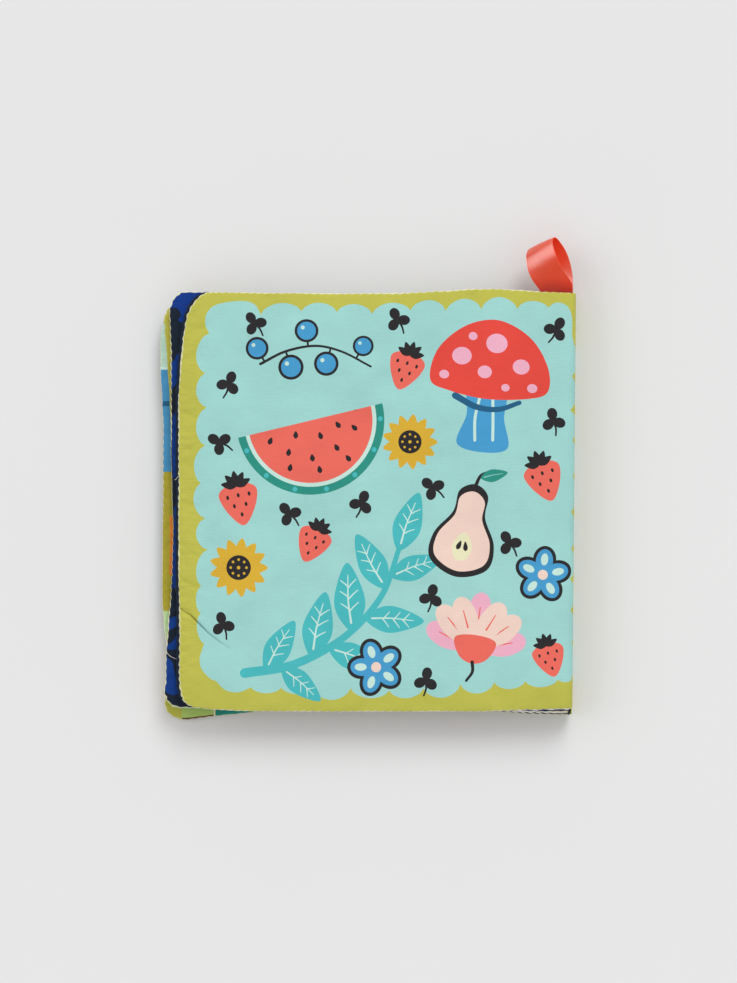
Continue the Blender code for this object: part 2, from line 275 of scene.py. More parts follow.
# How each leaf's outline strays from its straight cut, in millimetres: at the fore edge by
# distance from the foot, and at the head and foot by distance from the fore edge
STRAYS = {
    "back_leaf": {
        "fore": [(0, -1.4), (3, 0.2), (4.3, 1.0), (7, 1.6), (16, 1.3), (30, 1.35), (43, 1.2),
                 (60, 0.7), (92, 0.4), (122, 0.15), (136, 0), (149, 0.7), (162, 1.7), (168, 2.6),
                 (173, 3.4), (176, 4.6), (180, 5.6), (184, 6.6)],
        "head": [(12, -0.7), (29, -0.75), (42, -0.9), (71, -0.9), (95, -0.5), (106, 0), (115, 0.6),
                 (130, 1.6), (139, 1.7), (148, 1.4), (161, 0.7), (173, 0.3)],
        "foot": [(6, 0.6), (10, 0), (17, -0.7), (30, -1.15), (55, -1.2), (134, -0.5), (143, -0.2),
                 (156, 0.4), (169, 0.9), (175, 1.3)],
    },
    "third_leaf": {
        "fore": [(0, -6.2), (1.8, -5.0), (3.2, -3.9), (5, -2.9), (12, -1.35), (24, -1.2),
                 (37, -0.5), (51, 0.6), (64, 1.0), (80, 1.35), (97, 0.7), (117, 0.1), (137, -0.1),
                 (156, -0.35), (168, -0.7), (179, -1.3), (183, -2.7), (185, -5.5)],
        "head": [(6, -0.5), (15, -0.7), (34, -1.3), (74, -1.4), (123, -0.3), (177, -0.5)],
        "foot": [(4, 1.2), (10, 1.0), (36, 0.8), (137, 1.7), (155, 0.8), (166, 0.5), (173, 0.6),
                 (179, 1.3)],
    },
    "second_leaf": {
        "fore": [(0, -1.7), (4, 1.7), (13, 2.8), (28, 2.4), (39, 1.1), (49, 0.3), (60, 0.15),
                 (92, 0.1), (124, 0), (139, -0.6), (150, -1.4), (167, -1.5), (173, -0.5),
                 (179, 0.4), (186, 0.9)],
        "head": [(6, -3.6), (18, -2.6), (78, -2.1), (181, -1.2)],
        "foot": [(8, 1.5), (31, 1.7), (141, 2.7), (150, 1.2), (163, 0.8), (177, 0.7), (182, 1.6)],
    },
    "front_leaf": {
        "fore": [(0, -0.2), (2.7, 0.1), (5, 0.9), (8.6, 2.0), (16, 2.6), (29, 2.6), (39, 1.6),
                 (50, 0.8), (92, 0.7), (124, 0.4), (139, 0), (151, -0.7), (166, -0.7), (173, 0.2),
                 (179, 1.2), (187, 1.9)],
        "head": [(7, -3.9), (19, -2.9), (78, -2.4), (181, -1.5)],
        "foot": [(8, -2.7), (11, -3.1), (14, -2.8), (18, -2.2), (24, -1.4), (31, -0.6), (38, 0.2),
                 (45, 1.1), (62, 2.6), (142, 2.9), (151, 1.6), (164, 0.9), (171, 0.8), (177, 0.7),
                 (183, 2.1)],
    },
}
STRAY_REACH = 0.040  # how far in from an edge its straying is felt
PULL_REACH = 0.0011  # how far in the pull of a stitch is felt
PULL_BEAT = 0.0137  # how slowly that pull comes and goes along the seam


def half_thickness(depth):
    """Half a leaf's thickness at a depth in from its edge."""
    return SEAM_HALF + (HALF - SEAM_HALF) * crown(depth / EDGE_REACH)


def stitch_phase(along):
    return 2 * math.pi * along / sizes().stitch


def stitch_pull(along):
    """How hard the seam pulls, from 0 between two stitches to 1 at a stitch."""
    return 0.5 + 0.5 * np.cos(stitch_phase(along))


def free_of_spine(leaf, s):
    """1 where a leaf is free to stray across, and 0 where the spine holds it."""
    return 1 - smooth(leaf.width - 0.03, leaf.width - 0.005, s)


def placed(leaf, x, q, z):
    """Points in the frame, from the distance beyond the binding line, that from the leaf's
    foot, and the height from the binding line."""
    return np.stack(np.broadcast_arrays(
        HINGE.x + x, HEAD - leaf.height + q, HINGE.z + leaf.side * z), -1)


def drift(leaf, p, q):
    """How far a leaf's points stray in its own plane: the loose outline and the seam's ripple."""
    depth, out_x, out_y, along = rim_of(leaf, p, q)
    stray = STRAYS[leaf.name]
    fade = lambda far: (1 - np.clip(far / STRAY_REACH, 0, 1)) ** 2
    dx = edge_curve(stray["fore"], q) * fade(p)
    dy = edge_curve(stray["head"], p) * fade(leaf.height - q)
    dy = dy + edge_curve(stray["foot"], p) * fade(q)
    loose = 0.6 + 0.4 * np.sin(along / PULL_BEAT + leaf.width * 900)
    near = np.exp(-np.maximum(depth, 0) / PULL_REACH)
    pull = -sizes().ripple * stitch_pull(along)**2 * loose * near
    ends = smooth(leaf.width - 0.004, leaf.width - 0.012, p)
    return dx + pull * out_x, dy + pull * out_y * ends


# ---------------------------------------------------------------- simulated padding

PAD_ROWS = 62
PAD_COLUMNS = 58


def to_disc(u, v):
    """Draws a square corner in to a quarter circle."""
    return u * np.sqrt(1 - v * v / 2), v * np.sqrt(1 - u * u / 2)


def from_disc(u, v):
    """Undoes to_disc."""
    a, b, k = 2 + u * u - v * v, 2 - u * u + v * v, math.sqrt(8)
    root = lambda value: np.sqrt(np.maximum(value, 0))
    return (root(a + k * u) - root(a - k * u)) / 2, (root(b + k * v) - root(b - k * v)) / 2


def corners_moved(p, q, height, radius, move):
    """A leaf's flat points with its fore corners redrawn by move, and how deep in they lie."""
    from_end = np.minimum(q, height - q)
    u, v = np.clip(1 - p / radius, 0, None), np.clip(1 - from_end / radius, 0, None)
    corner = (u > 0) & (v > 0)
    u, v = move(np.minimum(u, 1), np.minimum(v, 1))
    depth = np.where(corner, radius * (1 - np.hypot(u, v)), np.minimum(p, from_end))
    end = np.where(corner, radius * (1 - v), from_end)
    return np.where(corner, radius * (1 - u), p), np.where(q < height / 2, end, height - end), depth


def pad_plan(width, height, radius, columns, rows):
    """Grid of (p, q, depth) over a leaf's pad, with its fore corners rounded."""
    p, q = np.meshgrid(np.linspace(0, width, columns + 1), np.linspace(0, height, rows + 1))
    return corners_moved(p, q, height, radius, to_disc)


def quads(grid):
    """The faces between points whose numbers stand in a grid."""
    return np.stack([grid[:-1, :-1], grid[:-1, 1:], grid[1:, 1:], grid[1:, :-1]], -1).reshape(-1, 4)


def pad_faces(columns, rows):
    """Faces of a closed pad of two like grids, the upper one first, its rim and a grid's size."""
    grid = np.arange((rows + 1) * (columns + 1)).reshape(rows + 1, columns + 1)
    top = quads(grid)
    rim = np.concatenate([grid[0], grid[1:, -1], grid[-1, -2::-1], grid[-2:0:-1, 0]])
    after = np.roll(rim, -1)
    side = np.stack([after, rim, rim + grid.size, after + grid.size], 1)
    return np.concatenate([top, top[:, ::-1] + grid.size, side]), rim, grid.size


PAD_CLOTH = {
    "quality": 5, "mass": 0.15, "bending_model": "ANGULAR",
    "tension_stiffness": 20, "compression_stiffness": 20, "shear_stiffness": 8,
    "bending_stiffness": 5, "tension_damping": 10, "compression_damping": 10, "air_damping": 2,
    "use_pressure": True, "uniform_pressure_force": 0.15,
    "vertex_group_mass": "held", "vertex_group_shrink": "loose",
    "shrink_min": 0.0, "shrink_max": -0.04,
}
PAD_STEPS = 20
PAD_LOOSE_REACH = 0.035  # how far in from the seam the cloth has slack
START_BUMP, START_PERIOD = 0.0004, 0.012  # the unevenness that the wrinkles grow from
SWELL, SWELL_REACH = 0.0006, 0.06  # the wadding's share of the swelling


def simulated_pad(leaf, number):
    """How a leaf's two cloths puff and wrinkle, as height shifts over the pad's grid."""
    p, q, depth = pad_plan(
        leaf.width - PAD_SETBACK, leaf.height, CORNER_RADIUS, PAD_COLUMNS, PAD_ROWS)
    rise = half_thickness(depth)
    flat = np.concatenate([np.stack([p, q, z], -1).reshape(-1, 3) for z in (rise, -rise)])
    faces, rim, count = pad_faces(PAD_COLUMNS, PAD_ROWS)
    held = np.zeros(len(flat), bool)
    held[rim] = held[rim + count] = True
    start = flat.copy()
    for i in np.flatnonzero(~held):
        under = 4.1 if i >= count else 0
        place = (flat[i, 0] / START_PERIOD, flat[i, 1] / START_PERIOD, number * 7.3 + under)
        start[i, 2] += START_BUMP * noise.noise(Vector(place))
    mesh = bpy.data.meshes.new("pad")
    mesh.from_pydata(start.tolist(), [], faces.tolist())
    pad = bpy.data.objects.new("pad", mesh)
    bpy.context.collection.objects.link(pad)
    pad.vertex_groups.new(name="held").add([int(i) for i in np.flatnonzero(held)], 1, "REPLACE")
    loose = pad.vertex_groups.new(name="loose")
    for i, share in enumerate(np.tile(np.clip(1 - depth.ravel() / PAD_LOOSE_REACH, 0, 1), 2)):
        loose.add([i], float(share), "REPLACE")
    cloth = pad.modifiers.new("Cloth", "CLOTH")
    for key, value in PAD_CLOTH.items():
        setattr(cloth.settings, key, value)
    cloth.settings.effector_weights.gravity = 0
    cloth.collision_settings.use_collision = False
    cloth.point_cache.frame_start, cloth.point_cache.frame_end = 1, PAD_STEPS
    for step in range(1, PAD_STEPS + 1):
        bpy.context.scene.frame_set(step)
    applied(pad, cloth.name)
    bpy.context.scene.frame_set(1)
    moved = np.zeros(len(flat) * 3)
    pad.data.vertices.foreach_get("co", moved)
    shift = (moved.reshape(-1, 3) - flat)[:, 2].reshape(2, PAD_ROWS + 1, PAD_COLUMNS + 1)
    bpy.data.objects.remove(pad)
    # the swell as a whole is the wadding's, which the CAD height already holds
    swell = SWELL * crown(depth / SWELL_REACH)
    return {1: shift[0] - swell, -1: -shift[1] - swell}


def sampled(field, leaf, p, q):
    """A pad grid's values at flat points, by smooth interpolation."""
    a, b, _ = corners_moved(p, q, leaf.height, CORNER_RADIUS, from_disc)
    x = np.clip(a / (leaf.width - PAD_SETBACK) * PAD_COLUMNS, 0, PAD_COLUMNS)
    y = np.clip(b / leaf.height * PAD_ROWS, 0, PAD_ROWS)
    i, j = np.minimum(x.astype(int), PAD_COLUMNS - 1), np.minimum(y.astype(int), PAD_ROWS - 1)
    weights = lambda t: (
        (-t + 2 * t**2 - t**3) / 2, (2 - 5 * t**2 + 3 * t**3) / 2,
        (t + 4 * t**2 - 3 * t**3) / 2, (-t**2 + t**3) / 2)
    total = 0
    for m, across in enumerate(weights(y - j)):
        for n, along in enumerate(weights(x - i)):
            row, column = np.clip(j + m - 1, 0, PAD_ROWS), np.clip(i + n - 1, 0, PAD_COLUMNS)
            total = total + across * along * field[row, column]
    return total


PADS = {}


def pad_shift(leaf, up, p, q):
    """How far the simulation moves a side out. All four pads are simulated at its first call."""
    if not PADS:
        for number, each in enumerate(LEAVES):
            PADS[each.name] = simulated_pad(each, number)
    return sampled(PADS[leaf.name][up], leaf, p, q) if PADS else p * 0


# ---------------------------------------------------------------- folds of a cloth

# Creases, as (depth, width, points), in millimetres on the flat cloth. A depth below zero stands up
CREASES = {
    "back_cover": [
        (1.25, 0.34, [(-0.4, 44.3), (5.4, 40.7), (9.3, 37), (13.1, 33.3), (18.4, 29.3), (24, 26)]),
        (-0.22, 1.0, [
            (0.5, 45.9), (6.2, 42.2), (10.1, 38.5), (13.9, 34.8), (19.2, 30.8), (25, 27)]),
        (0.46, 0.8, [(0.2, 72.2), (3, 70.5), (6.2, 67.9), (9.4, 66.2), (12, 65.4)]),
        (0.40, 0.9, [(0.2, 69.8), (2, 66.5), (3.3, 63.5), (5, 60.5)]),
        (0.32, 0.9, [(0.2, 87), (3, 86.4), (6, 85.5), (10, 85)]),
        (0.34, 0.8, [(0.3, 57.9), (3.2, 55), (6.4, 52.8)]),
        (0.26, 0.9, [(0.3, 118.6), (5, 118), (9, 118.4)]),
        (0.26, 0.8, [(0.3, 141.5), (4, 139.8), (8, 139.4)]),
        (0.20, 2.6, [(160, 58), (167, 52), (174, 46)]),
        (-0.18, 3.0, [(156, 53), (164, 46.5), (172, 40)]),
    ],
    "page_3": [(0.35, 0.8, [(-1, 101.0), (3, 102.4), (8, 103.2)])],
}
FINE_CREASE = 0.6  # up to this width a crease gets points of its own and a shade
CREASE_SHADE = 0.00027  # half the width of that shade
STITCH_DIMPLE, DIMPLE_DEPTH, DIMPLE_REACH = 0.00012, 0.0012, 0.0010  # beside the seam
# How far each cloth may sink and rise, and how much it is drawn in, to clear what lies beside
RELIEF_ROOM = {"front_cover": (-0.0007, 0.0, 0.00015)}
PAGE_ROOM = (-0.0006, 0.00010, 0.00010)


def along_line(points, s, q):
    """Distance to a line of points, and the share of the way along it."""
    best, share = np.full(s.shape, 1e9), np.zeros(s.shape)
    line = np.array(points, float) * MM
    steps = len(line) - 1
    for k in range(steps):
        a, b = line[k], line[k + 1]
        d = b - a
        t = np.clip(((s - a[0]) * d[0] + (q - a[1]) * d[1]) / (d @ d), 0, 1)
        far = np.hypot(s - a[0] - t * d[0], q - a[1] - t * d[1])
        share = np.where(far < best, (k + t) / steps, share)
        best = np.minimum(best, far)
    return best, share


def puckers(cloth, s, q):
    """Small folds that start at the seams, where the stitches gather the cloth."""
    rng = np.random.default_rng(sum(ord(letter) for letter in cloth.name))
    leaf, total = cloth.leaf, np.zeros(s.shape)
    # each side's length, the depth in from it, the place along it, its folds and their strength
    sides = (
        (leaf.height, s, q, 46, 1.0), (leaf.width, q, s, 26, 0.55),
        (leaf.width, leaf.height - q, s, 26, 0.55))
    for length, depth, place, count, strength in sides:
        for _ in range(count):
            middle = rng.uniform(0.010, length - 0.010)
            reach = rng.uniform(0.006, 0.021) * strength**0.5
            wide = rng.uniform(0.0006, 0.0013)
            deep = rng.uniform(0.00016, 0.00050) * strength * rng.choice((1, 1, -0.5))
            slant, bend = rng.uniform(-0.65, 0.65), rng.uniform(-18, 18)
            across = place - middle - slant * depth - bend * depth**2
            near = np.exp(-(across / (wide * (1 + depth / 0.009))) ** 2)
            fade = smooth(0.0003, 0.0020, depth) * (1 - smooth(0.15 * reach, reach, depth))
            total -= deep * near * fade
    return total


# Length, direction and height of the slow waves
WAVES = (
    (0.046, 0.9, 0.00016), (0.031, 2.3, 0.00012), (0.022, 4.1, 0.00008), (0.0145, 5.2, 0.00004))


def undulation(cloth, s, q):
    """The slow rise and fall of the filling under the cloth."""
    seed = len(cloth.name) * 3.7 + cloth.leaf.width * 100
    total = np.zeros(s.shape)
    for length, turn, high in WAVES:
        a = (s * math.cos(turn) + q * math.sin(turn)) / length * 2 * math.pi
        b = (s * math.sin(turn * 1.7) - q * math.cos(turn * 1.7)) / length * 5.1
        total += high * np.sin(a + seed + 1.3 * np.sin(b + seed))
    return total


def relief(cloth, s, q):
    """How far the printed side stands out from the leaf's plain crown."""
    leaf, run = cloth.leaf, cloth.run
    p = np.minimum(s, run)
    depth, _, _, along = rim_of(leaf, p, q)
    out = pad_shift(leaf, cloth.up, p, q) + undulation(cloth, s, q) * smooth(0.002, 0.016, depth)
    out = out + puckers(cloth, s, q)
    for deep, wide, points in CREASES.get(cloth.name, ()):
        far, share = along_line(points, s, q)
        fold = smooth(-0.08, 0.10, share) * (1 - share) ** 0.7
        out = out - deep * MM * np.exp(-(far / (wide * MM)) ** 2) * fold
    dimple = np.exp(-(((depth - DIMPLE_DEPTH) / DIMPLE_REACH) ** 2))
    out = out - STITCH_DIMPLE * stitch_pull(along) * dimple
    out = out * (1 - smooth(run - 0.010, run - 0.001, s))
    if cloth.name == "back_cover":
        # a crease never cuts so deep that the film below comes through
        return np.clip(out, -0.00010 - 0.54 * HALF * crown(depth / EDGE_REACH), 0.0006)
    low, high, inward = RELIEF_ROOM.get(cloth.name, PAGE_ROOM)
    return np.clip(out - inward, low, high)


def crease_shade(cloth, s, q):
    """How deep in a sharp crease a point lies, from 0 to 1: less light gets in there."""
    total = np.zeros(s.shape)
    for _, wide, points in CREASES.get(cloth.name, ()):
        if wide <= FINE_CREASE:
            far, share = along_line(points, s, q)
            total += np.exp(-(far / CREASE_SHADE) ** 2) * (1 - share) ** 0.6
    return total


ROLL, ROLL_DEPTH = 0.0022, 0.0010  # how far the lining rolls out, and how deep in most of all
ROLL_AT_FOOT, ROLL_START, ROLL_FULL = 0.55, 0.105, 0.165  # its share along the foot, and where


def rolled_out(cloth, p, q):
    """How far the lining rolls out from under the cover's seam, as its fore edge shows. Its dark
    print there also stands in for the shadow under the cover's edge.
    """
    if cloth.name != "page_6":
        return 0.0, 0.0
    depth, out_x, out_y, _ = rim_of(cloth.leaf, p, q)
    depth = np.maximum(depth, 0)
    at_foot = ROLL_AT_FOOT * (out_y < -0.5) * smooth(ROLL_START, ROLL_FULL, p)
    strength = np.maximum(np.sqrt(np.abs(out_x)), at_foot)
    push = ROLL * strength * (depth / ROLL_DEPTH) * np.exp(1 - depth / ROLL_DEPTH)
    return push * out_x, push * out_y


def laid(cloth, s, q):
    """Where flat points of a cloth lie on the book, on the printed side."""
    leaf, spine, up = cloth.leaf, cloth.spine, cloth.up
    run = cloth.length if spine.stop is None else cloth.run
    p = np.minimum(s, run)
    height = leaf.middle + up * half_thickness(np.maximum(rim_of(leaf, p, q)[0], 0))
    if spine.stop is None:
        fall = smooth(leaf.width - PAD_SETBACK, cloth.run, s)
        x, z = s - leaf.width, height * (1 - fall) + (leaf.middle - HALF) * fall
    else:
        drop = spine.radius * (height - spine.stop) / (leaf.middle + up * HALF - spine.stop)
        arc = spine.radius * math.pi / 2
        turn = np.clip((s - run) / arc, 0, 1) * math.pi / 2
        down = np.clip((s - run - arc) / cloth.wall, 0, 1)
        x = np.where(s < run, s - leaf.width, spine.radius * (np.sin(turn) - 1) - spine.wall)
        z = height - drop + drop * np.cos(turn)
        z = np.where(down > 0, (height - drop) * (1 - down) + spine.stop * down, z)
    dx, dy = drift(leaf, p, q)
    roll_x, roll_y = rolled_out(cloth, p, q)
    x = x + (dx + roll_x) * free_of_spine(leaf, s)
    return placed(leaf, x, q + dy + roll_y, z + up * relief(cloth, s, q))


def outline(leaf, inset, end, step):
    """Flat points round the three sewn edges, from the spine's foot to its head."""
    centre, r = CORNER_RADIUS, CORNER_RADIUS - inset
    high = leaf.height - centre
    count = lambda low, high: max(int(abs(high - low) / step), 2)
    steps = lambda low, high: np.linspace(low, high, count(low, high), endpoint=False)
    foot = [(s, inset) for s in steps(end, centre)]
    turns = np.linspace(0, math.pi / 2, int(centre * 1.57 / step), endpoint=False)
    low_corner = [(centre - r * math.sin(t), centre - r * math.cos(t)) for t in turns]
    fore = [(inset, q) for q in steps(centre, high)]
    high_corner = [(centre - r * math.cos(t), high + r * math.sin(t)) for t in turns]
    head = [(s, leaf.height - q) for s, q in foot[::-1]]
    return np.array(foot + low_corner + fore + high_corner + [(centre, leaf.height - inset)] + head)


# ---------------------------------------------------------------- drawing the prints
# A drawing is a list of (colour, outline) in millimetres on the flat cloth, painted in
# order. Outlines are arrays of complex numbers, across from the fore edge and up from the foot.


def ring(rx, ry=None, points=40):
    t = np.linspace(0, 2 * math.pi, points, endpoint=False)
    return rx * np.cos(t) + 1j * (rx if ry is None else ry) * np.sin(t)


def curve(points, closed=True, steps=8):
    """A smooth line through points."""
    c = np.array(points, complex)
    if closed:
        before, a, b, after = np.roll(c, 1), c, np.roll(c, -1), np.roll(c, -2)
    else:
        c = np.concatenate([[2 * c[0] - c[1]], c, [2 * c[-1] - c[-2]]])
        before, a, b, after = c[:-3], c[1:-2], c[2:-1], c[3:]
    t = np.linspace(0, 1, steps, endpoint=False)[None, :]
    before, a, b, after = (k[:, None] for k in (before, a, b, after))
    line = 0.5 * (2 * a + (b - before) * t + (2 * before - 5 * a + 4 * b - after) * t**2
                  + (3 * a - before - 3 * b + after) * t**3)
    line = line.ravel()
    return line if closed else np.append(line, c[-2])


def stroke(points, width, tip=None, steps=8):
    """A brush line with round ends, as wide as width, or from width to tip."""
    line = curve(points, False, steps)
    heading = np.gradient(line)
    heading = heading / np.abs(heading)
    half = np.linspace(width, width if tip is None else tip, len(line)) / 2
    left, right = line + 1j * heading * half, line - 1j * heading * half
    cap = np.exp(1j * np.linspace(math.pi / 2, -math.pi / 2, 7)[1:-1])
    far = line[-1] + heading[-1] * cap * half[-1]
    near = line[0] - heading[0] * cap * half[0]
    return np.concatenate([left, far, right[::-1], near])


def at(place, shapes, size=1.0, turn=0.0):
    """Shapes moved to a place, sized and turned by degrees."""
    by = size * np.exp(1j * math.radians(turn))
    return [(key, place + by * np.asarray(line, complex)) for key, line in shapes]


def strewn(*rows):
    """Motifs at several places, each given as (place, shapes, size, turn)."""
    return [made for row in rows for made in at(*row)]


def around(count, first, *shapes):
    """Shapes repeated round the centre, the first of them turned by some degrees."""
    return strewn(*((0, shapes, 1, 360 / count * k + first) for k in range(count)))


def both_sides(*points):
    """A closed outline from the points of its upper half, tip to tip."""
    return [*points, *np.conj(points[-2:0:-1])]


def flower(petals, reach, wide, petal, heart, heart_size, inner=None):
    shapes = around(petals, 12, (petal, reach * 0.55 + ring(reach * 0.48, wide)))
    if inner:
        shapes += around(petals, 12, (inner, reach * 0.62 + ring(reach * 0.24, wide * 0.42)))
    return shapes + [(heart, ring(heart_size))]


def sunflower(reach):
    petal = reach * np.array([0.30 - 0.16j, 0.66 - 0.19j, 1, 0.66 + 0.19j, 0.30 + 0.16j])
    return [
        *around(13, 0, ("mustard", curve(petal, True, 5))), ("black", ring(reach * 0.42)),
        *around(8, 0, ("mustard", reach * 0.27 + ring(reach * 0.045, points=12))),
        ("mustard", ring(reach * 0.06, points=14))]


def leaf_shape(long, wide, key, vein=None):
    """A pointed leaf from its stalk along the real axis, with side veins if it is a large one."""
    edge = both_sides(0, long * 0.3 + 1j * wide * 0.46, long * 0.62 + 1j * wide * 0.42, long)
    shapes = [(key, curve(edge, True, 8))]
    if not vein:
        return shapes
    rib = [long * 0.12, long * (0.45 + 0.02j), long * 0.82]
    shapes.append((vein, stroke(rib, wide * 0.07, wide * 0.03)))
    for share in (0.30, 0.48, 0.64) if long > 20 else ():
        for side in (1, -1):
            tip = long * (share + 0.11) + 1j * side * wide * (0.30 - 0.22 * abs(share - 0.4))
            bend = long * (share + 0.05) + 0.4j * tip.imag
            shapes.append((vein, stroke([long * share, bend, tip], wide * 0.05, wide * 0.03, 5)))
    return shapes


def sprig(stem, leaves, key, vein, width=2.6):
    """A curved stem with leaves, each given as (share along the stem, side, length)."""
    line = curve(stem, False, 12)
    shapes = []
    for share, side, long in leaves:
        k = min(int(share * (len(line) - 1)), len(line) - 2)
        heading = np.degrees(np.angle(line[k + 1] - line[k]))
        shapes += at(line[k], leaf_shape(long, long * 0.46, key, vein), 1, heading + side * 52)
    return shapes + [(key, stroke(stem, width, width * 0.5, 12))]


def mushroom():
    cap = [-26, -24 + 14j, -13 + 25j, 2 + 29j, 17 + 23j, 26 + 11j, 27, 18 - 4j, -6j, -17 - 4j]
    stalk = [-8 - 2j, 8 - 2j, 9 - 14j, 12 - 27j, -30j, -11 - 27j, -8 - 14j]
    spots = ((-13 + 12j, 4.4), (2 + 19j, 4.8), (14 + 10j, 3.8), (-2 + 6j, 3.2), (-20 + 3j, 2.2),
             (20 + 1j, 2.3), (8, 1.9), (-9 + 21j, 2.0))
    return [
        ("blue", curve(stalk)), ("pale_aqua", stroke([-3 - 6j, -4 - 15j, -3 - 25j], 1.3)),
        ("pale_aqua", stroke([3 - 6j, 4 - 14j, 5 - 24j], 1.3)),
        ("deep_sky", stroke([-14 - 6j, -4 - 10j, 6 - 10j, 15 - 6j], 3.0, 2.0)), ("red", curve(cap)),
        *(("pink", spot + ring(size, size * 0.88, 28)) for spot, size in spots)]


def melon():
    half = lambda r: r * np.exp(1j * np.linspace(math.pi, 2 * math.pi, 44))
    seed = [("black", curve([1.9j, 1.15 - 0.2j, -1.6j, -1.15 - 0.2j], True, 5))]
    seeds = (-20 - 5j, -13 - 12j, -8 - 5j, -3 - 17j, 3 - 8j, 9 - 15j, 12 - 5j, 19 - 8j, -14 - 19j,
             -1 - 23j, 13 - 21j)
    return [
        ("deep_teal", half(34)), ("pale_aqua", half(30.4)), ("coral", half(28.6)),
        *(("teal", 32.2 * np.exp(1j * math.radians(turn)) + ring(1.15, points=12))
          for turn in range(192, 349, 26)),
        *strewn(*((place, seed, 1, 14 * place.real / 8) for place in seeds))]


def pear():
    skin = np.array([
        25j, 8 + 20j, 9 + 8j, 17 - 6j, 16 - 20j, -27j, -16 - 20j, -17 - 6j, -9 + 8j, -8 + 20j])
    core = [-2j, 5 - 8j, 4.5 - 15j, -18j, -4.5 - 15j, -5 - 8j]
    seed = [("black", curve([3.2j, 1.3 - 0.4j, -2.2j, -1.3 - 0.4j], True, 5))]
    return [
        ("black", curve(skin)), ("peach", curve(skin * 0.86 - 0.6j)), ("cream", curve(core)),
        ("black", stroke([24j, 1.5 + 30j, 5 + 33j], 2.0, 1.4)),
        *strewn((2 + 29j, leaf_shape(15, 7, "deep_teal", "aqua"), 1, 24),
                (-1.9 - 10j, seed, 1, -14), (1.9 - 10j, seed, 1, 14))]


def strawberry():
    body = [-8.2 + 3j, -4 + 6.4j, 5.6j, 4 + 6.4j, 8.2 + 3j, 5.6 - 5j, -11j, -5.6 - 5j]
    seeds = (-4.6 + 1.6j, 1.8j, 4.6 + 1.6j, -2.5 - 2.4j, 2.5 - 2.4j, -6.4j)
    return [
        ("coral", curve(body, True, 7)),
        *(("black", seed + ring(0.62, 0.95, 10)) for seed in seeds),
        *strewn(*((5.6j, leaf_shape(6.6, 3.4, "black"), 1, 18 + 36 * k) for k in range(5))),
        ("black", stroke([6j, 0.6 + 9.6j], 1.1))]


def berries():
    stem = [-30 - 8j, -16 - 2j, 0, 14 - 4j, 29 - 13j]
    line = curve(stem, False, 12)
    shapes = [("black", stroke(stem, 1.5, 1.1))]
    for share, side, size in (
            (0.05, 1, 6.2), (0.26, -1, 6.8), (0.46, 1, 6.4), (0.68, -1, 6.6), (0.90, 1, 5.6)):
        k = int(share * (len(line) - 2))
        heading = (line[k + 1] - line[k]) / abs(line[k + 1] - line[k])
        middle = line[k] + 1j * heading * side * (size + 2.2)
        glint = middle + size * (-0.3 + 0.3j)
        shapes += [
            ("black", stroke([line[k], middle], 1.1)), ("black", middle + ring(size)),
            ("blue", middle + ring(size * 0.78)),
            ("pale_aqua", glint + ring(size * 0.17, points=14))]
    return shapes


def clover():
    return [("black", stroke([0, 0.6 - 4j, -7.5j], 1.2, 0.8)),
            *around(3, 90, ("black", 3.2 + ring(3.0, 2.5, 20)))]


def blossom():
    """A broad pink bloom seen from the side."""
    shapes = []
    for turn, long in ((162, 33), (18, 33), (138, 35), (42, 35), (90, 36), (114, 34), (66, 34)):
        petal = curve(both_sides(0, long * 0.5 + 7.5j, long * 0.88 + 5.6j, long), True, 7)
        shapes += at(0, [("pink" if turn in (162, 18, 90) else "peach", petal),
                         ("coral", stroke([long * 0.42, long * 0.74], 1.1, 0.6))], 1, turn)
    cup = [-13 + 6j, 9j, 13 + 6j, 9 - 5j, -9j, -9 - 5j]
    return shapes + [("coral", curve(cup)), ("black", stroke([-8j, 1 - 14j, -2 - 20j], 2.2, 1.6))]


def tulip(key, heart):
    cup = [-8 + 9j, -4 + 3j, 10j, 4 + 3j, 8 + 9j, 8.5 - 2j, -9j, -8.5 - 2j]
    return [
        ("leaf_green", stroke([-8j, 1 - 18j, -30j], 1.8, 1.5)), (key, curve(cup, True, 6)),
        (heart, stroke([3j, -5j], 2.2, 1.2)),
        *strewn((-27j, leaf_shape(17, 6, "leaf_green", "grass"), 1, 58),
                (-29j, leaf_shape(15, 6, "leaf_green", "grass"), 1, 126))]


def stars(seed, count, across, up, size, key, points=5, inner=0.45):
    """Stars strewn by chance between limits of place and size."""
    rng = np.random.default_rng(seed)
    line = np.array([
        (1 if k % 2 == 0 else inner) * np.exp(1j * (math.pi / points * k + math.pi / 2))
        for k in range(2 * points)])
    return strewn(*(
        (complex(rng.uniform(*across), rng.uniform(*up)), [(key, rng.uniform(*size) * line)], 1,
         rng.uniform(0, 60)) for _ in range(count)))


def clouds(*rows):
    """White clouds, each given as (place, half its length)."""
    puffs = [-1 - 0.15j, -1.02 + 0.18j, -0.72 + 0.36j, -0.5 + 0.62j, -0.1 + 0.72j, 0.25 + 0.55j,
             0.62 + 0.52j, 0.8 + 0.24j, 1.02 + 0.1j, 0.98 - 0.2j, 0.5 - 0.3j, -0.5 - 0.3j]
    return strewn(*((place, [("white", curve(puffs, True, 7))], size) for place, size in rows))


def balloon(key):
    body = [12j, 8.4 + 8j, 9.4, 5 - 9j, -13j, -5 - 9j, -9.4, -8.4 + 8j]
    return [("cream", stroke([-13j, 2 - 20j, -2 - 27j, 1 - 34j], 0.7)), (key, curve(body, True, 7)),
            ("cream", stroke([-4.5 + 5j, -5 + 0.5j], 1.6, 0.8))]


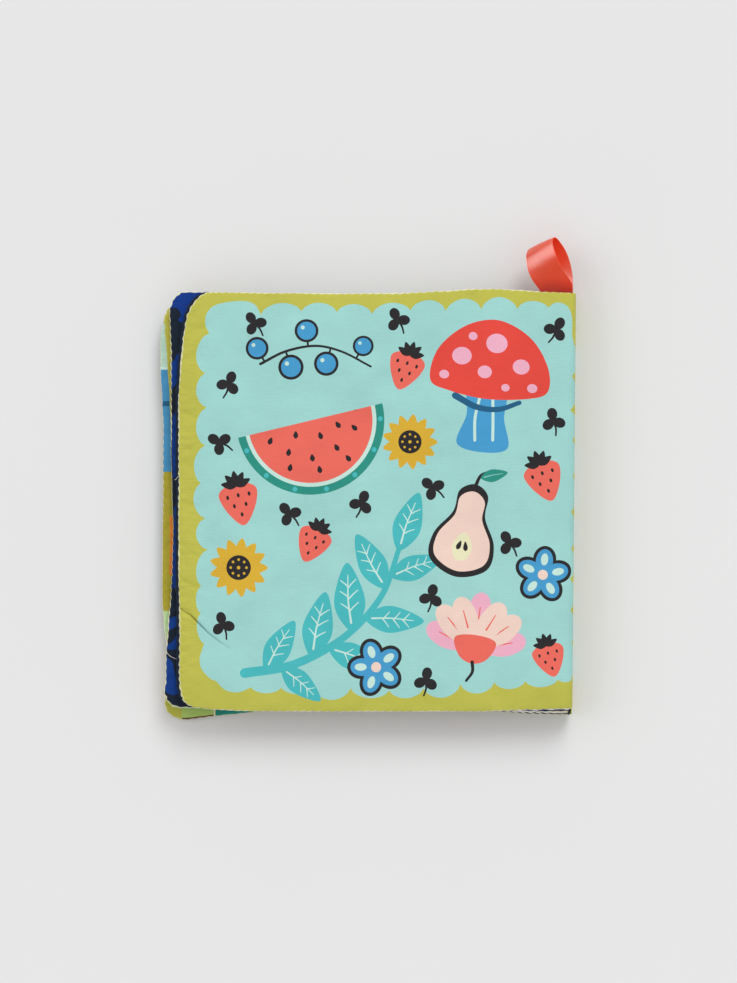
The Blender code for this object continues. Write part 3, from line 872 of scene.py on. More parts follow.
def scallops(cusps, crests, power=0.6):
    """Arcs from cusp to cusp, each as high as its crest."""
    line = []
    for a, crest, b in zip(cusps, crests, cusps[1:]):
        across = (b - a) / abs(b - a)
        high = ((crest - a) / across).imag
        t = np.linspace(0, 1, 12, endpoint=False)
        line.append(a + (b - a) * t + 1j * across * high * np.sin(math.pi * t) ** power)
    return np.concatenate(line + [[cusps[-1]]])


# The cover's scalloped border, round from the head's near end, with its hand-drawn unevenness
HEAD_CUSPS = [35.8 + 173.8j, 53.8 + 175.7j, 69.3 + 175.4j, 84.9 + 174.5j, 101.7 + 176.0j,
              117.3 + 175.4j, 132.9 + 175.7j, 148.8 + 176.0j, 162.4 + 177.1j]
HEAD_CRESTS = [45.6 + 179.4j, 61.9 + 179.6j, 76.4 + 179.1j, 93.6 + 179.6j, 109.4 + 180.3j,
               125.2 + 180.1j, 140.2 + 180.7j, 155.2 + 179.7j]
HEAD_FAR = [162.4 + 177.1j, 165 + 179.1j, 168 + 179.4j, 170.9 + 177.9j, 172.6 + 174.5j,
            173.1 + 170j, 173.1 + 165j, 174.4 + 161.2j]
SPINE_CUSPS = [174.4 + 161.2j, 173.0 + 147.6j, 172.3 + 132.6j, 173.6 + 119.4j, 174.0 + 103.5j,
               173.2 + 87.8j, 173.4 + 71.5j, 172.9 + 58.3j, 173.2 + 44.6j, 174.2 + 30j, 175 + 15.3j]
FOOT_FAR = [175 + 15.3j, 173.9 + 13.2j, 171.2 + 12.3j, 167.9 + 13.4j]
FOOT_CUSPS = [33.0 + 10.0j, 46.3 + 10.0j, 60.6 + 9.3j, 76.8 + 10.0j, 93.8 + 9.0j, 108.9 + 9.9j,
              125.1 + 11.7j, 140.1 + 12.6j, 153.7 + 12.9j, 167.9 + 13.4j]
FOOT_CRESTS = [39.2 + 7.6j, 53.7 + 7.2j, 68.7 + 5.0j, 85.4 + 5.7j, 100.8 + 5.7j, 116.2 + 5.8j,
               132.0 + 7.8j, 146.1 + 9.6j, 160.2 + 10.2j]
FORE_CUSPS = [12.2 + 165.2j, 11.2 + 147.4j, 12.4 + 132.3j, 11.7 + 115.5j, 9.9 + 99.0j, 11.9 + 83.6j,
              13.1 + 69.7j, 10.2 + 53.8j, 9.9 + 41.7j, 11.5 + 28.3j]
FORE_CRESTS = [6.7 + 155.5j, 7.6 + 139.6j, 7.7 + 123.7j, 6.9 + 107.4j, 6.7 + 91.1j, 7.9 + 76.2j,
               7.9 + 61.2j, 7.7 + 47.6j, 8.2 + 34.8j]
NEAR_HEAD = [12.2 + 165.2j, 10.2 + 168.5j, 9.7 + 173.0j, 11.2 + 176.4j, 14.6 + 178.3j,
             20.0 + 179.4j, 26.0 + 180.0j, 30.8 + 179.5j, 33.8 + 177.6j, 35.8 + 173.8j]
NEAR_FOOT = [11.5 + 28.3j, 9.7 + 22.8j, 9.9 + 18.6j, 11.4 + 16.0j, 14.4 + 13.3j, 17.2 + 12.2j,
             20.3 + 9.2j, 24.0 + 7.9j, 28.0 + 8.0j, 33.0 + 10.0j]
COVER_CUT = 174.8 + 184.0j


def scalloped_ground(leaf):
    """The cover's ground, whose scalloped edge leaves the border's colour showing."""
    crests = [(a + b) / 2 + 4.4 for a, b in zip(SPINE_CUSPS, SPINE_CUSPS[1:])]
    rounded = lambda points: curve(points, False, 5)
    line = np.concatenate([part[:-1] for part in (
        rounded(NEAR_HEAD), scallops(HEAD_CUSPS, HEAD_CRESTS), rounded(HEAD_FAR),
        scallops(SPINE_CUSPS, crests, 0.95), rounded(FOOT_FAR),
        scallops(FOOT_CUSPS, FOOT_CRESTS)[::-1], rounded(NEAR_FOOT)[::-1],
        scallops(FORE_CUSPS, FORE_CRESTS)[::-1])])
    across, up = leaf.width / MM / COVER_CUT.real, leaf.height / MM / COVER_CUT.imag
    return [("aqua", line.real * across + 1j * line.imag * up)]


def back_cover_print():
    leaves = [(0.12, 1, 25), (0.20, -1, 22), (0.34, 1, 29), (0.42, -1, 25), (0.56, 1, 30),
              (0.64, -1, 26), (0.80, 1, 27), (0.86, -1, 24), (0.995, 0, 27)]
    stem = [30 + 16j, 52 + 20j, 74 + 32j, 90 + 50j, 98 + 72j]
    shapes = scalloped_ground(BACK) + sprig(stem, leaves, "teal", "pale_aqua", 4.2) + strewn(
        (136 + 143j, mushroom(), 0.98, -6), (58 + 127j, melon(), 0.96, 14),
        (127 + 80j, pear(), 0.80, -12), (131 + 27j, blossom(), 0.70, -8),
        (60 + 160j, berries(), 0.82, 4))
    shapes += strewn(*((place, strawberry(), size, turn) for place, turn, size in (
        (27 + 92j, 12, 1.05), (100 + 151j, -18, 0.95), (161 + 103j, 20, 1.0), (60 + 74j, -24, 0.9),
        (164 + 24j, 16, 0.86))))
    shapes += strewn((27 + 62j, sunflower(13.0)), (102 + 118j, sunflower(12.2)))
    for place, turn in ((161 + 60j, 0), (88 + 19j, 24)):
        shapes += strewn((place, flower(5, 12.4, 5.1, "black", "black", 3.3), 1, turn),
                         (place, flower(5, 11.0, 3.8, "blue", "peach", 2.2, "pale_aqua"), 1, turn))
    return shapes + strewn(*((place, clover(), 0.9, turn) for place, turn in (
        (22 + 143j, -20), (96 + 172j, 25), (20 + 37j, 15), (166 + 168j, -30), (49 + 86j, 40),
        (112 + 50j, -12), (18 + 117j, 60), (165 + 128j, 10), (146 + 74j, 30), (81 + 91j, -20),
        (112 + 98j, 50), (110 + 13.5j, -8), (33 + 170j, 35))))


def front_cover_print():
    heart = 88 + 96j
    shapes = scalloped_ground(FRONT)
    shapes += at(heart, flower(9, 44, 13.5, "pink", "coral", 15, "peach"), 1.15)
    shapes += [("black", heart + 9.5 * np.exp(1j * math.radians(36 * k)) + ring(1.1, points=12))
               for k in range(10)]
    for place, turn in ((32 + 40j, 20), (146 + 40j, -20), (32 + 152j, 160), (146 + 152j, 200)):
        shapes += strewn((place, leaf_shape(30, 14, "teal", "pale_aqua"), 1, turn - 20),
                         (place, leaf_shape(26, 12, "deep_teal", "aqua"), 1, turn + 30))
    return shapes + strewn(*(
        (place, sunflower(10.5)) for place in (88 + 24j, 88 + 166j, 24 + 96j, 154 + 96j)))


def below(key, *tops):
    """All that lies below a rolling line, whose heights are given at even steps across the page."""
    places = np.linspace(-20, 220, len(tops))
    line = curve(places + 1j * np.array(tops), False, 12)
    return (key, np.concatenate([line, [230 - 20j, -30 - 20j]]))


def box(key, left, low, right, high):
    corners = [complex(left, low), complex(right, low), complex(right, high), complex(left, high)]
    return (key, np.array(corners))


def page_1_print():
    return [
        below("aqua", 230, 230), below("grass", 118, 120, 132, 116, 134, 120),
        ("lime", np.array([-14 - 14j, 9.9 - 14j, 9.9 + 2j, 9.2 + 9j, 7 + 30j, 5 + 96j, -14 + 96j])),
        # painted light: the meadow along the foot is drawn lighter against the shade there
        # painted shadow: the dark brown strip at the foot edge stands for the edge's shadow
        box("foot_grass", 9.5, -4, 24, 12), box("umber", 9.9, -4, 23.8, 0.75),
        box("cream", 23.8, -4, 26, 8), box("deep_teal", 24.5, -4, 39, 8),
        box("navy", 116, -4, 190, 3), box("teal", 25.2, 2.6, 38, 3.4),
        *strewn((30 + 70j, tulip("coral", "mustard"), 1.3), (62 + 60j, tulip("pink", "coral"), 1.5),
                (98 + 74j, tulip("mustard", "coral"), 1.2),
                (130 + 60j, tulip("coral", "pink"), 1.5), (160 + 72j, tulip("pink", "coral"), 1.2)),
        *clouds((40 + 160j, 16), (104 + 152j, 13), (156 + 164j, 15))]


def page_2_print():
    return [
        below("grass", 24, 30, 40, 26, 36, 26),
        *strewn((48 + 116j, balloon("coral"), 1.5), (92 + 136j, balloon("mustard"), 1.3),
                (134 + 112j, balloon("pink"), 1.5)),
        *clouds((36 + 164j, 15), (140 + 166j, 17), (160 + 84j, 11), (20 + 78j, 10))]


def page_3_print():
    hem = [-1 + 190j, -1 + 177j, 1.0 + 172j, 2.1 + 166j, 2.7 + 158j, 3.2 + 147j, 3.3 + 135j,
           3.4 + 128j, 3.8 + 118j, 4.2 + 108j, 6.5 + 132j, 10 + 160j, 15 + 190j]
    return [
        below("pale_aqua", 152.2, 152.2, 147, 156, 150), below("sky", 150.9, 150.9, 145, 154, 148),
        below("deep_sky", 137, 137, 132, 139, 134), below("sky", 134.7, 134.7, 129, 136, 131),
        below("olive", 105.6, 105.6, 98, 110, 102), below("pale_grass", 44.6, 44.6, 52, 40, 47),
        ("orange", stroke([3.8 + 86j, 4.1 + 74j, 3.8 + 61j], 1.4)), ("lime", np.array(hem)),
        ("white", curve([126 - 6j, 122 + 3j, 140 + 5j, 156 + 3j, 176 + 4j, 190 - 6j])),
        ("mustard", 126 + 164j + ring(12)),
        *strewn((50 + 72j, tulip("coral", "peach"), 1.4), (92 + 62j, tulip("pink", "peach"), 1.5),
                (136 + 74j, tulip("mustard", "peach"), 1.4))]


def page_4_print():
    leaves = [(0.1, 1, 17), (0.25, -1, 16), (0.45, 1, 18), (0.6, -1, 16), (0.82, 1, 15)]
    return [below("coral", 40, 32, 42, 28, 40, 30), *strewn(
        (60 + 110j, mushroom(), 1.35, 6),
        (130 + 120j, flower(8, 30, 9, "white", "coral", 9, "pale_aqua")),
        (120 + 62j, sprig([-30 - 6j, -8 + 2j, 14, 34 + 6j], leaves, "deep_teal", "aqua", 2.4)))]


def night_marks(seed, wide):
    """Broad diamond-like brush marks of a night sky."""
    rng = np.random.default_rng(seed)
    shapes = []
    for _ in range(36):
        middle = complex(rng.uniform(24, wide), rng.uniform(0, 184))
        size, tall = rng.uniform(5, 10), rng.uniform(7, 14)
        corners = [size, 0.45 * size + 0.55j * tall, 1j * tall, -0.5 * size + 0.45j * tall, -size,
                   -0.55 * size - 0.5j * tall, -1j * tall, 0.5 * size - 0.55j * tall]
        corners = [c * rng.uniform(0.8, 1.15) for c in corners]
        shapes += at(middle, [("royal", curve(corners, True, 5))], 1, rng.uniform(-25, 25))
    return shapes


# The brush marks at page 5's fore edge, from head to foot. The first is the brightest
EDGE_MARKS = (
    [-3 + 176.6j, 1.5 + 177.8j, 4.0 + 176.8j, 4.9 + 174j, 3.6 + 172.4j, 4.9 + 171j, 6.8 + 171.8j,
     8.5 + 174.5j, 12 + 177j, 22 + 180j, 24 + 190j, -3 + 190j],
    [-3 + 152j, 1.0 + 153.6j, 3.4 + 157.4j, 9 + 160j, 11 + 152j, 4.8 + 147.8j, 3.0 + 144.8j,
     1.2 + 142.4j, -3 + 141.6j],
    [0.7 + 128.6j, 1.6 + 130.4j, 3.0 + 132.3j, 8 + 134j, 12 + 122j, 7 + 106j, 3.2 + 104.2j,
     1.4 + 102.4j, 0.6 + 103.4j, 0.5 + 116j],
    [0.7 + 87.6j, 1.3 + 89.6j, 2.6 + 91.6j, 8 + 92j, 11 + 74j, 7 + 56j, 3.0 + 53.2j, 1.2 + 53.8j,
     0.6 + 55.6j, 0.5 + 72j],
    [-3 + 40.0j, 0.4 + 40.4j, 3.8 + 41.2j, 7 + 40j, 4.6 + 37.4j, 2.2 + 35.8j, -3 + 34.6j],
    [-3 + 27.6j, 1.8 + 29.4j, 4.8 + 33.6j, 8 + 32j, 6.4 + 28j, 4.2 + 26.6j, 1.0 + 26.4j],
    [-3 + 23.4j, 1.0 + 22.4j, 3.0 + 19.6j, 4.2 + 14j, 6.6 + 8.6j, 5.6 + 5.8j, 2.4 + 6.2j,
     -3 + 11.4j],
)


def page_5_print():
    first, *others = [curve(mark, True, 5) for mark in EDGE_MARKS]
    return [
        *night_marks(5, 176), ("royal", first), *(("deep_royal", mark) for mark in others),
        *stars(9, 26, (22, 172), (12, 166), (2, 5), "white"),
        ("mustard", 96 + 108j + ring(24, points=60)), ("navy", 106 + 114j + ring(20, points=50))]


def page_6_print():
    return [
        *night_marks(12, 182),
        *strewn((50 + 60j, tulip("pink", "peach"), 1.4), (92 + 74j, tulip("blue", "peach"), 1.6),
                (134 + 60j, tulip("coral", "peach"), 1.4)),
        *stars(4, 22, (12, 172), (100, 176), (2, 4.5), "mustard", 4, 0.35),
        *(("white", x + np.array([-0.5j, 3 - 0.5j, 1.5 + 2.1j])) for x in range(150, 186, 7))]


PRINTS = {
    "back_cover": ("lime", back_cover_print), "page_6": ("navy", page_6_print),
    "page_5": ("navy", page_5_print), "page_4": ("mustard", page_4_print),
    "page_3": ("mist", page_3_print), "page_2": ("sky", page_2_print),
    "page_1": ("aqua", page_1_print), "front_cover": ("lime", front_cover_print),
}

# Distances in from the sewn edge at which rings of points follow it. From each ring to the next,
# the points lie further apart by a share of the first ring's step
RIM_RINGS = (0.00012, 0.00035, 0.0007, 0.0012, 0.0018, 0.0026, 0.0037, 0.0050)
RING_SPREAD = 0.18
# How clear points keep of those before them, in millimetres: the outer three rings, the others,
# crease rows, the spine's rows, and the grid as a share of its spacing
OUTER_CLEAR, RING_CLEAR, CREASE_CLEAR, SPINE_CLEAR, GRID_CLEAR = 0.06, 0.14, 0.12, 0.2, 0.30
ROW_RISE = 0.866  # a triangular grid's rows over the spacing of its points
SPINE_STEP = 0.0006  # between the rows down the spine
INK_STEP = 0.55  # a print outline's longest edge over the spacing of the mesh
FORE_ZONE = 0.018  # how far in from the fore edge the grid is twice as fine
# How far in the bare rim reaches at most, in millimetres
BARE_RIM = {"back_cover": 0.42, "page_6": 0.03, "page_5": 0.36}
PLAIN_BARE_RIM = 0.14
INK_INSET = 0.00004  # how far in from the seam the ink stops where it comes closest
# Where page 5 hides its bare rim: the middle of that stretch of its fore edge, half its length,
# and how far from the middle the rim shows in full again
COVERED_MIDDLE, COVERED, UNCOVERED = 0.084, 0.026, 0.038
# Rows of points beside a fine crease, in millimetres from it
CREASE_ROWS = (-1.5, -0.95, -0.55, -0.33, -0.16, 0, 0.16, 0.33, 0.55, 0.95, 1.5)


def evened(line, step):
    """A closed line whose long edges are divided into steps."""
    out = []
    for a, b in zip(line, np.roll(line, -1)):
        parts = max(int(math.ceil(abs(b - a) / step)), 1)
        out += [a + (b - a) * k / parts for k in range(parts)]
    return np.array(out)


def ink_area(cloth, end, step):
    """Where the print ends short of the seam, a little unevenly, so that bare cloth shows."""
    bare = BARE_RIM.get(cloth.name, PLAIN_BARE_RIM) * MM
    near, far = (outline(cloth.leaf, INK_INSET + inset, end, step) for inset in (0, bare))
    _, _, _, along = rim_of(cloth.leaf, near[:, 0], near[:, 1])
    share = 0.45 + 0.3 * np.sin(stitch_phase(along)) + 0.25 * np.sin(along / 0.0047)
    if cloth.name == "page_5":
        shown = smooth(COVERED, UNCOVERED, np.abs(along - COVERED_MIDDLE))
        share = share * (0.15 + 0.85 * shown)
    return near + (far - near) * share[:, None]


def crease_points(cloth):
    """Rows of points along the fine creases, so that the mesh can follow them."""
    rows = [np.zeros(0, complex)]
    for _, wide, points in CREASES.get(cloth.name, ()):
        if wide <= FINE_CREASE:
            line = curve([complex(*point) for point in points], False, 24)
            heading = np.gradient(line)
            rows += [line + 1j * heading / np.abs(heading) * off for off in CREASE_ROWS]
    line = np.concatenate(rows)
    return np.column_stack([line.real, line.imag, np.full(len(line), CREASE_CLEAR)])


def grid_points(cloth, spacing, low, high):
    """A triangular grid over the part of the cloth between two distances from the fore edge."""
    leaf, rise = cloth.leaf, spacing * ROW_RISE
    rows = np.arange(int(leaf.height / rise) + 1)
    columns = np.arange(int(cloth.run / spacing) + 1)
    s = (columns[None, :] + 0.5 * (rows[:, None] % 2)) * spacing
    q = np.broadcast_to(rows[:, None] * rise, s.shape)
    inside = (rim_of(leaf, s, q)[0] > RIM_RINGS[-1] + rise * 0.6) & (s < cloth.run - spacing * 0.5)
    keep = inside & (s >= low) & (s < high)
    clear = np.full(int(keep.sum()), spacing / MM * GRID_CLEAR)
    return np.column_stack([s[keep] / MM, q[keep] / MM, clear])


def spine_points(cloth, spacing):
    """Rows of points down the round of the spine and its wall."""
    s, q = np.meshgrid(
        np.arange(cloth.run, cloth.length - SPINE_STEP / 2, SPINE_STEP),
        np.arange(0.0067, cloth.leaf.height - 0.006, spacing))
    return np.column_stack([s.ravel() / MM, q.ravel() / MM, np.full(s.size, SPINE_CLEAR)])


def spaced(points, extra):
    """The points there are and the extra ones, given as (x, y, clear), that keep clear of them."""
    tree = kdtree.KDTree(len(points))
    for i, (x, y) in enumerate(points):
        tree.insert((x, y, 0), i)
    tree.balance()
    return points + [(x, y) for x, y, clear in extra.tolist() if tree.find((x, y, 0))[2] > clear]


def meshed(name, points, faces, uvs=None):
    """A smooth mesh, with a map in metres on the flat cloth or thread."""
    mesh = bpy.data.meshes.new(name)
    mesh.from_pydata(np.asarray(points).tolist(), [], faces)
    if uvs is not None:
        mesh.uv_layers.new(name="cloth").data.foreach_set("uv", np.asarray(uvs, np.float32).ravel())
    mesh.shade_smooth()
    return mesh


def printed_mesh(cloth, spacing, rim_step):
    """The cloth as one mesh: the print's outlines are edges of it, so that they stay sharp."""
    leaf, end = cloth.leaf, cloth.length
    ground, drawing = PRINTS[cloth.name]
    keys = ["cream", ground]
    lines = [line[:, 0] + 1j * line[:, 1] for line in (
        outline(leaf, 0, end, rim_step) / MM, ink_area(cloth, end, rim_step) / MM)]
    for key, line in drawing():
        lines.append(evened(line, spacing / MM * INK_STEP))
        keys.append(key)
    points, areas = [], []
    for line in lines:
        if np.sum((line.conj() * np.roll(line, -1)).imag) <= 0:
            line = line[::-1]
        areas.append(list(range(len(points), len(points) + len(line))))
        points += [(c.real, c.imag) for c in line]
    rim = []
    for k, inset in enumerate(RIM_RINGS):
        line = outline(leaf, inset, end, rim_step * (1 + RING_SPREAD * k)) / MM
        clear = np.full(len(line), OUTER_CLEAR if k < 3 else RING_CLEAR)
        rim.append(np.column_stack([line, clear]))
    for extra in (
            [*rim, crease_points(cloth)], [grid_points(cloth, spacing * 0.5, 0, FORE_ZONE)],
            [grid_points(cloth, spacing, FORE_ZONE, leaf.width), spine_points(cloth, spacing)]):
        points = spaced(points, np.concatenate(extra))
    flat, _, made, _, _, origin = delaunay_2d_cdt(
        [Vector(point) for point in points], [], areas, 1, 1e-5, True)
    # a face's last area is the one painted over the others, but only where the ink reaches
    kept = [(face, max(ids) if 1 in ids else 0) for face, ids in zip(made, origin) if 0 in ids]
    used = sorted({i for face, _ in kept for i in face})
    number = {old: new for new, old in enumerate(used)}
    s, q = np.array([flat[i][:] for i in used]).T * MM
    turn = cloth.up * leaf.side
    tris = [[number[i] for i in face[::turn]] for face, _ in kept]
    order = np.array(tris).ravel()
    mesh = meshed(cloth.name, laid(cloth, s, q), tris, np.stack([s[order], q[order]], 1))
    inks = np.array([colour(key) for key in keys], np.float32)[[k for _, k in kept]]
    for name, kind, domain, field, values in (
            ("crease", "FLOAT", "POINT", "value", crease_shade(cloth, s, q)),
            ("print", "FLOAT_COLOR", "CORNER", "color", np.repeat(inks, 3, 0).ravel())):
        mesh.attributes.new(name, kind, domain).data.foreach_set(field, values)
    return mesh


# ---------------------------------------------------------------- materials


def feed(made, key, value):
    """Sets a node's input, or links it where the value is another node or one of its outputs.
    The key is the input's name with _ for a space, or its number as in _1."""
    socket = made.inputs[int(key[1:]) if key[0] == "_" else key.replace("_", " ")]
    if isinstance(value, bpy.types.Node):
        value = value.outputs[0]
    if isinstance(value, bpy.types.NodeSocket):
        made.id_data.links.new(value, socket)
    else:
        socket.default_value = value


def node(tree, kind, **what):
    """Adds a node. Small-letter keys set its properties and the others feed its inputs."""
    made = tree.nodes.new("ShaderNode" + kind)
    for key, value in what.items():
        if key[0].islower():
            setattr(made, key, value)
        else:
            feed(made, key, value)
    return made


def summed(tree, total, *terms):
    """A total with other values added to it, each given as (value, weight)."""
    for value, weight in terms:
        total = node(tree, "Math", operation="MULTIPLY_ADD", _0=value, _1=weight, _2=total)
    return total


def eased(tree, value, start, end, low=0.0, high=1.0):
    """A number that goes smoothly from low to high as the value goes from start to end."""
    return node(
        tree, "MapRange", interpolation_type="SMOOTHSTEP", Value=value,
        From_Min=start, From_Max=end, To_Min=low, To_Max=high)


def ramp(tree, factor, low, high, start=0.0, end=1.0):
    """A colour between two sRGB hex colours."""
    made = node(tree, "ValToRGB", Fac=factor)
    for stop, place, text in zip(made.color_ramp.elements, (start, end), (low, high)):
        stop.position, stop.color = place, linear(text)
    return made


def grain(tree, where, scale, detail, **more):
    return node(tree, "TexNoise", Scale=scale, Detail=detail, Vector=where, **more)


def bands(tree, where, way, period):
    """Waves with a period in metres."""
    made = node(tree, "TexWave", bands_direction=way, Scale=2 * math.pi / 20 / period, Vector=where)
    return made.outputs["Fac"]


def cloth_map(tree):
    return node(tree, "UVMap", uv_map="cloth")


def material(name, plain, **inputs):
    """A Principled material, its tree and its shader. The plain colour is also the flat views'."""
    made = bpy.data.materials.new(name)
    made.use_nodes = True
    made.diffuse_color = plain
    shader = made.node_tree.nodes["Principled BSDF"]
    for key, value in {"Base_Color": plain, **inputs}.items():
        feed(shader, key, value)
    return made, made.node_tree, shader


def bumped(shader, height, strength, distance):
    feed(shader, "Normal", node(
        shader.id_data, "Bump", Strength=strength, Distance=distance, Height=height))


def printed_polyester():
    """Brushed polyester, plain weave, heat printed: flat ink colours with a soft matt bloom, a
    faint grid of threads and slightly uneven ink."""
    made, tree, shader = material(
        "Printed brushed polyester", linear("A3D6CF"),
        Sheen_Weight=0.05, Sheen_Roughness=0.45, Specular_IOR_Level=0.2)
    uv = cloth_map(tree)
    ink, crease = (node(tree, "Attribute", attribute_name=name) for name in ("print", "crease"))
    period = sizes().weave  # real threads are about 0.3 mm apart, drawn at twice that so they show
    over = node(
        tree, "TexChecker", Scale=1 / period, Color1=(1, 1, 1, 1), Color2=(0, 0, 0, 1), Vector=uv)
    weave = node(tree, "Mix", data_type="FLOAT", Factor=over,
                 _2=bands(tree, uv, "X", period), _3=bands(tree, uv, "Y", period))
    slub = grain(tree, uv, 1 / 0.0011, 3.0, Roughness=0.6)
    stretch = node(tree, "Mapping", Scale=(1.0, 9.0, 1.0), Vector=uv)
    streak = grain(tree, stretch, 1 / 0.006, 4.0, Roughness=0.65)
    patch = grain(tree, uv, 1 / 0.025, 3.0, Roughness=0.55)
    # fine gathers beside the fore seam, too small for the mesh: a bump, and painted shade along
    # their folds
    inward = node(tree, "SeparateXYZ", Vector=uv).outputs["X"]
    long_ways = node(tree, "Mapping", Scale=(55, 330, 1), Rotation=(0, 0, 0.12), Vector=uv)
    gather = grain(tree, long_ways, 1.0, 2.5, Roughness=0.5, Distortion=0.5)
    apart = node(tree, "Math", operation="ABSOLUTE", _0=summed(tree, -0.5, (gather, 1.0)))
    line = node(tree, "Math", operation="MULTIPLY", _0=eased(tree, apart, 0.0, 0.045, 1.0, 0.0),
                _1=eased(tree, inward, 0.0010, 0.0150, 1.0, 0.0))
    # ink: light and dark by a few hundredths, in patches, along the threads and thread by thread,
    # with painted shade in the fine gathers and deep in the sharp creases
    ink_and_painted_shade = summed(tree, 0.7925, (patch, 0.20), (streak, 0.15), (weave, 0.065), (line, -0.05),
                   (crease.outputs["Fac"], -0.55))
    feed(shader, "Base_Color", node(tree, "VectorMath", operation="SCALE", _0=ink, Scale=ink_and_painted_shade))
    feed(shader, "Roughness", summed(tree, 0.76, (slub, 0.14)))
    bumped(shader, summed(tree, weave, (slub, 0.55), (line, -1.5)), 0.45, 0.00008)
    return made


def wadding_fibre():
    """Polyester wadding, carded: white fluff of crossing fibres that scatters light."""
    made, tree, shader = material(
        "Polyester wadding", linear("F0F0EC"), Sheen_Weight=0.5, Roughness=0.95)
    where = node(tree, "TexCoord").outputs["Object"]
    feed(shader, "Base_Color", ramp(tree, grain(tree, where, 110.0, 4.0), "DCDCD6", "F6F6F3"))
    bumped(shader, grain(tree, where, 900.0, 6.0, Distortion=2.5), 0.8, 0.0004)
    return made


def crinkle_film():
    """Thin crinkle film, extruded polyester: clear, glossy and creased into small facets."""
    made, tree, shader = material(
        "Crinkle film", linear("E3E6E8"), Transmission_Weight=0.5, IOR=1.5)
    where = node(tree, "TexCoord").outputs["Object"]
    feed(shader, "Roughness", summed(tree, 0.12, (grain(tree, where, 300.0, 3.0), 0.15)))
    facet = node(tree, "TexVoronoi", feature="DISTANCE_TO_EDGE", Scale=130.0, Vector=where)
    bumped(shader, facet, 0.6, 0.0006)
    return made


def satin():
    """Polyester satin ribbon, woven warp face: long floats lie side by side along the ribbon,
    so it shines in a broad soft band across its length."""
    made, tree, shader = material(
        "Polyester satin", colour("ribbon"), Anisotropic=0.5, IOR=1.7, Specular_IOR_Level=0.75,
        # light comes through to the loop's inside
        Subsurface_Weight=0.9, Subsurface_Scale=0.0022, Subsurface_Radius=(1.0, 0.35, 0.20))
    uv = cloth_map(tree)
    feed(shader, "Tangent", node(tree, "Tangent", direction_type="UV_MAP", uv_map="cloth"))
    thread = bands(tree, uv, "X", 0.0004)  # floats of about 0.2 mm, drawn at 0.4 mm
    stretch = node(tree, "Mapping", Scale=(12.0, 1.0, 1.0), Vector=uv)
    streak = grain(tree, stretch, 260.0, 4.0, Roughness=0.6)
    # painted shade: a darker red where the strand dips into the seam, under the cover's edge
    depth = eased(tree, node(tree, "SeparateXYZ", Vector=uv).outputs["Y"], 0.0005, 0.0100)
    deep = node(tree, "Mix", data_type="RGBA", Factor=depth, _6=linear("BE2806"),
                _7=ramp(tree, streak, "EE4A22", "F8562F", 0.3, 0.7))
    feed(shader, "Base_Color", deep.outputs[2])
    feed(shader, "Roughness", summed(tree, 0.28, (streak, 0.12)))
    bumped(shader, summed(tree, streak, (thread, 0.5)), 0.30, 0.00005)
    return made


def spun_thread():
    """Spun polyester sewing thread, twisted from three plies: soft, matt, with a rope-like lay."""
    made, tree, shader = material(
        "Spun polyester thread", colour("thread"), Sheen_Weight=0.3, Roughness=0.7)
    ply = bands(tree, cloth_map(tree), "DIAGONAL", 0.0009)
    feed(shader, "Base_Color", ramp(tree, ply, "D9D4C4", "F3F0E6"))
    bumped(shader, ply, 0.6, 0.0001)
    return made


def studio_paper():
    """Matt seamless paper, rolled: even and pale, with a faint mottle."""
    made, tree, shader = material(
        "Seamless paper", linear("E8E8E8"), Roughness=0.95, Specular_IOR_Level=0.1)
    mottle = grain(tree, node(tree, "TexCoord").outputs["Object"], 9.0, 2.0)
    feed(shader, "Base_Color", ramp(tree, mottle, "E7E7E7", "E9E9E9"))
    return made


FINISHES = {
    "cloth": printed_polyester, "wadding": wadding_fibre, "film": crinkle_film,
    "satin": satin, "thread": spun_thread, "paper": studio_paper,
}
MADE = {}


def finish_of(key):
    if key not in MADE:
        MADE[key] = FINISHES[key]()
    return MADE[key]


# ---------------------------------------------------------------- making pieces


def piece(name, mesh, finish, body):
    made = bpy.data.objects.new(name, mesh)
    bpy.context.collection.objects.link(made)
    mesh.materials.append(finish_of(finish))
    if body:
        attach(made, body)
    return made


def applied(obj, name):
    bpy.ops.object.select_all(action="DESELECT")
    bpy.context.view_layer.objects.active = obj
    obj.select_set(True)
    bpy.ops.object.modifier_apply(modifier=name)
    obj.select_set(False)


def thickened(obj, thickness, offset):
    wall = obj.modifiers.new("Thickness", "SOLIDIFY")
    wall.thickness, wall.offset = thickness, offset
    applied(obj, wall.name)


def unit(vectors):
    return vectors / np.linalg.norm(vectors, axis=-1)[..., None]


def distances(line):
    """How far along a line its points are."""
    return np.append(0, np.cumsum(np.linalg.norm(np.diff(line, axis=0), axis=1)))


def space_curve(points, steps):
    """A smooth line through points in millimetres."""
    rows = np.array(points, float).T
    return np.stack([curve(places, False, steps).real for places in rows], -1) * MM


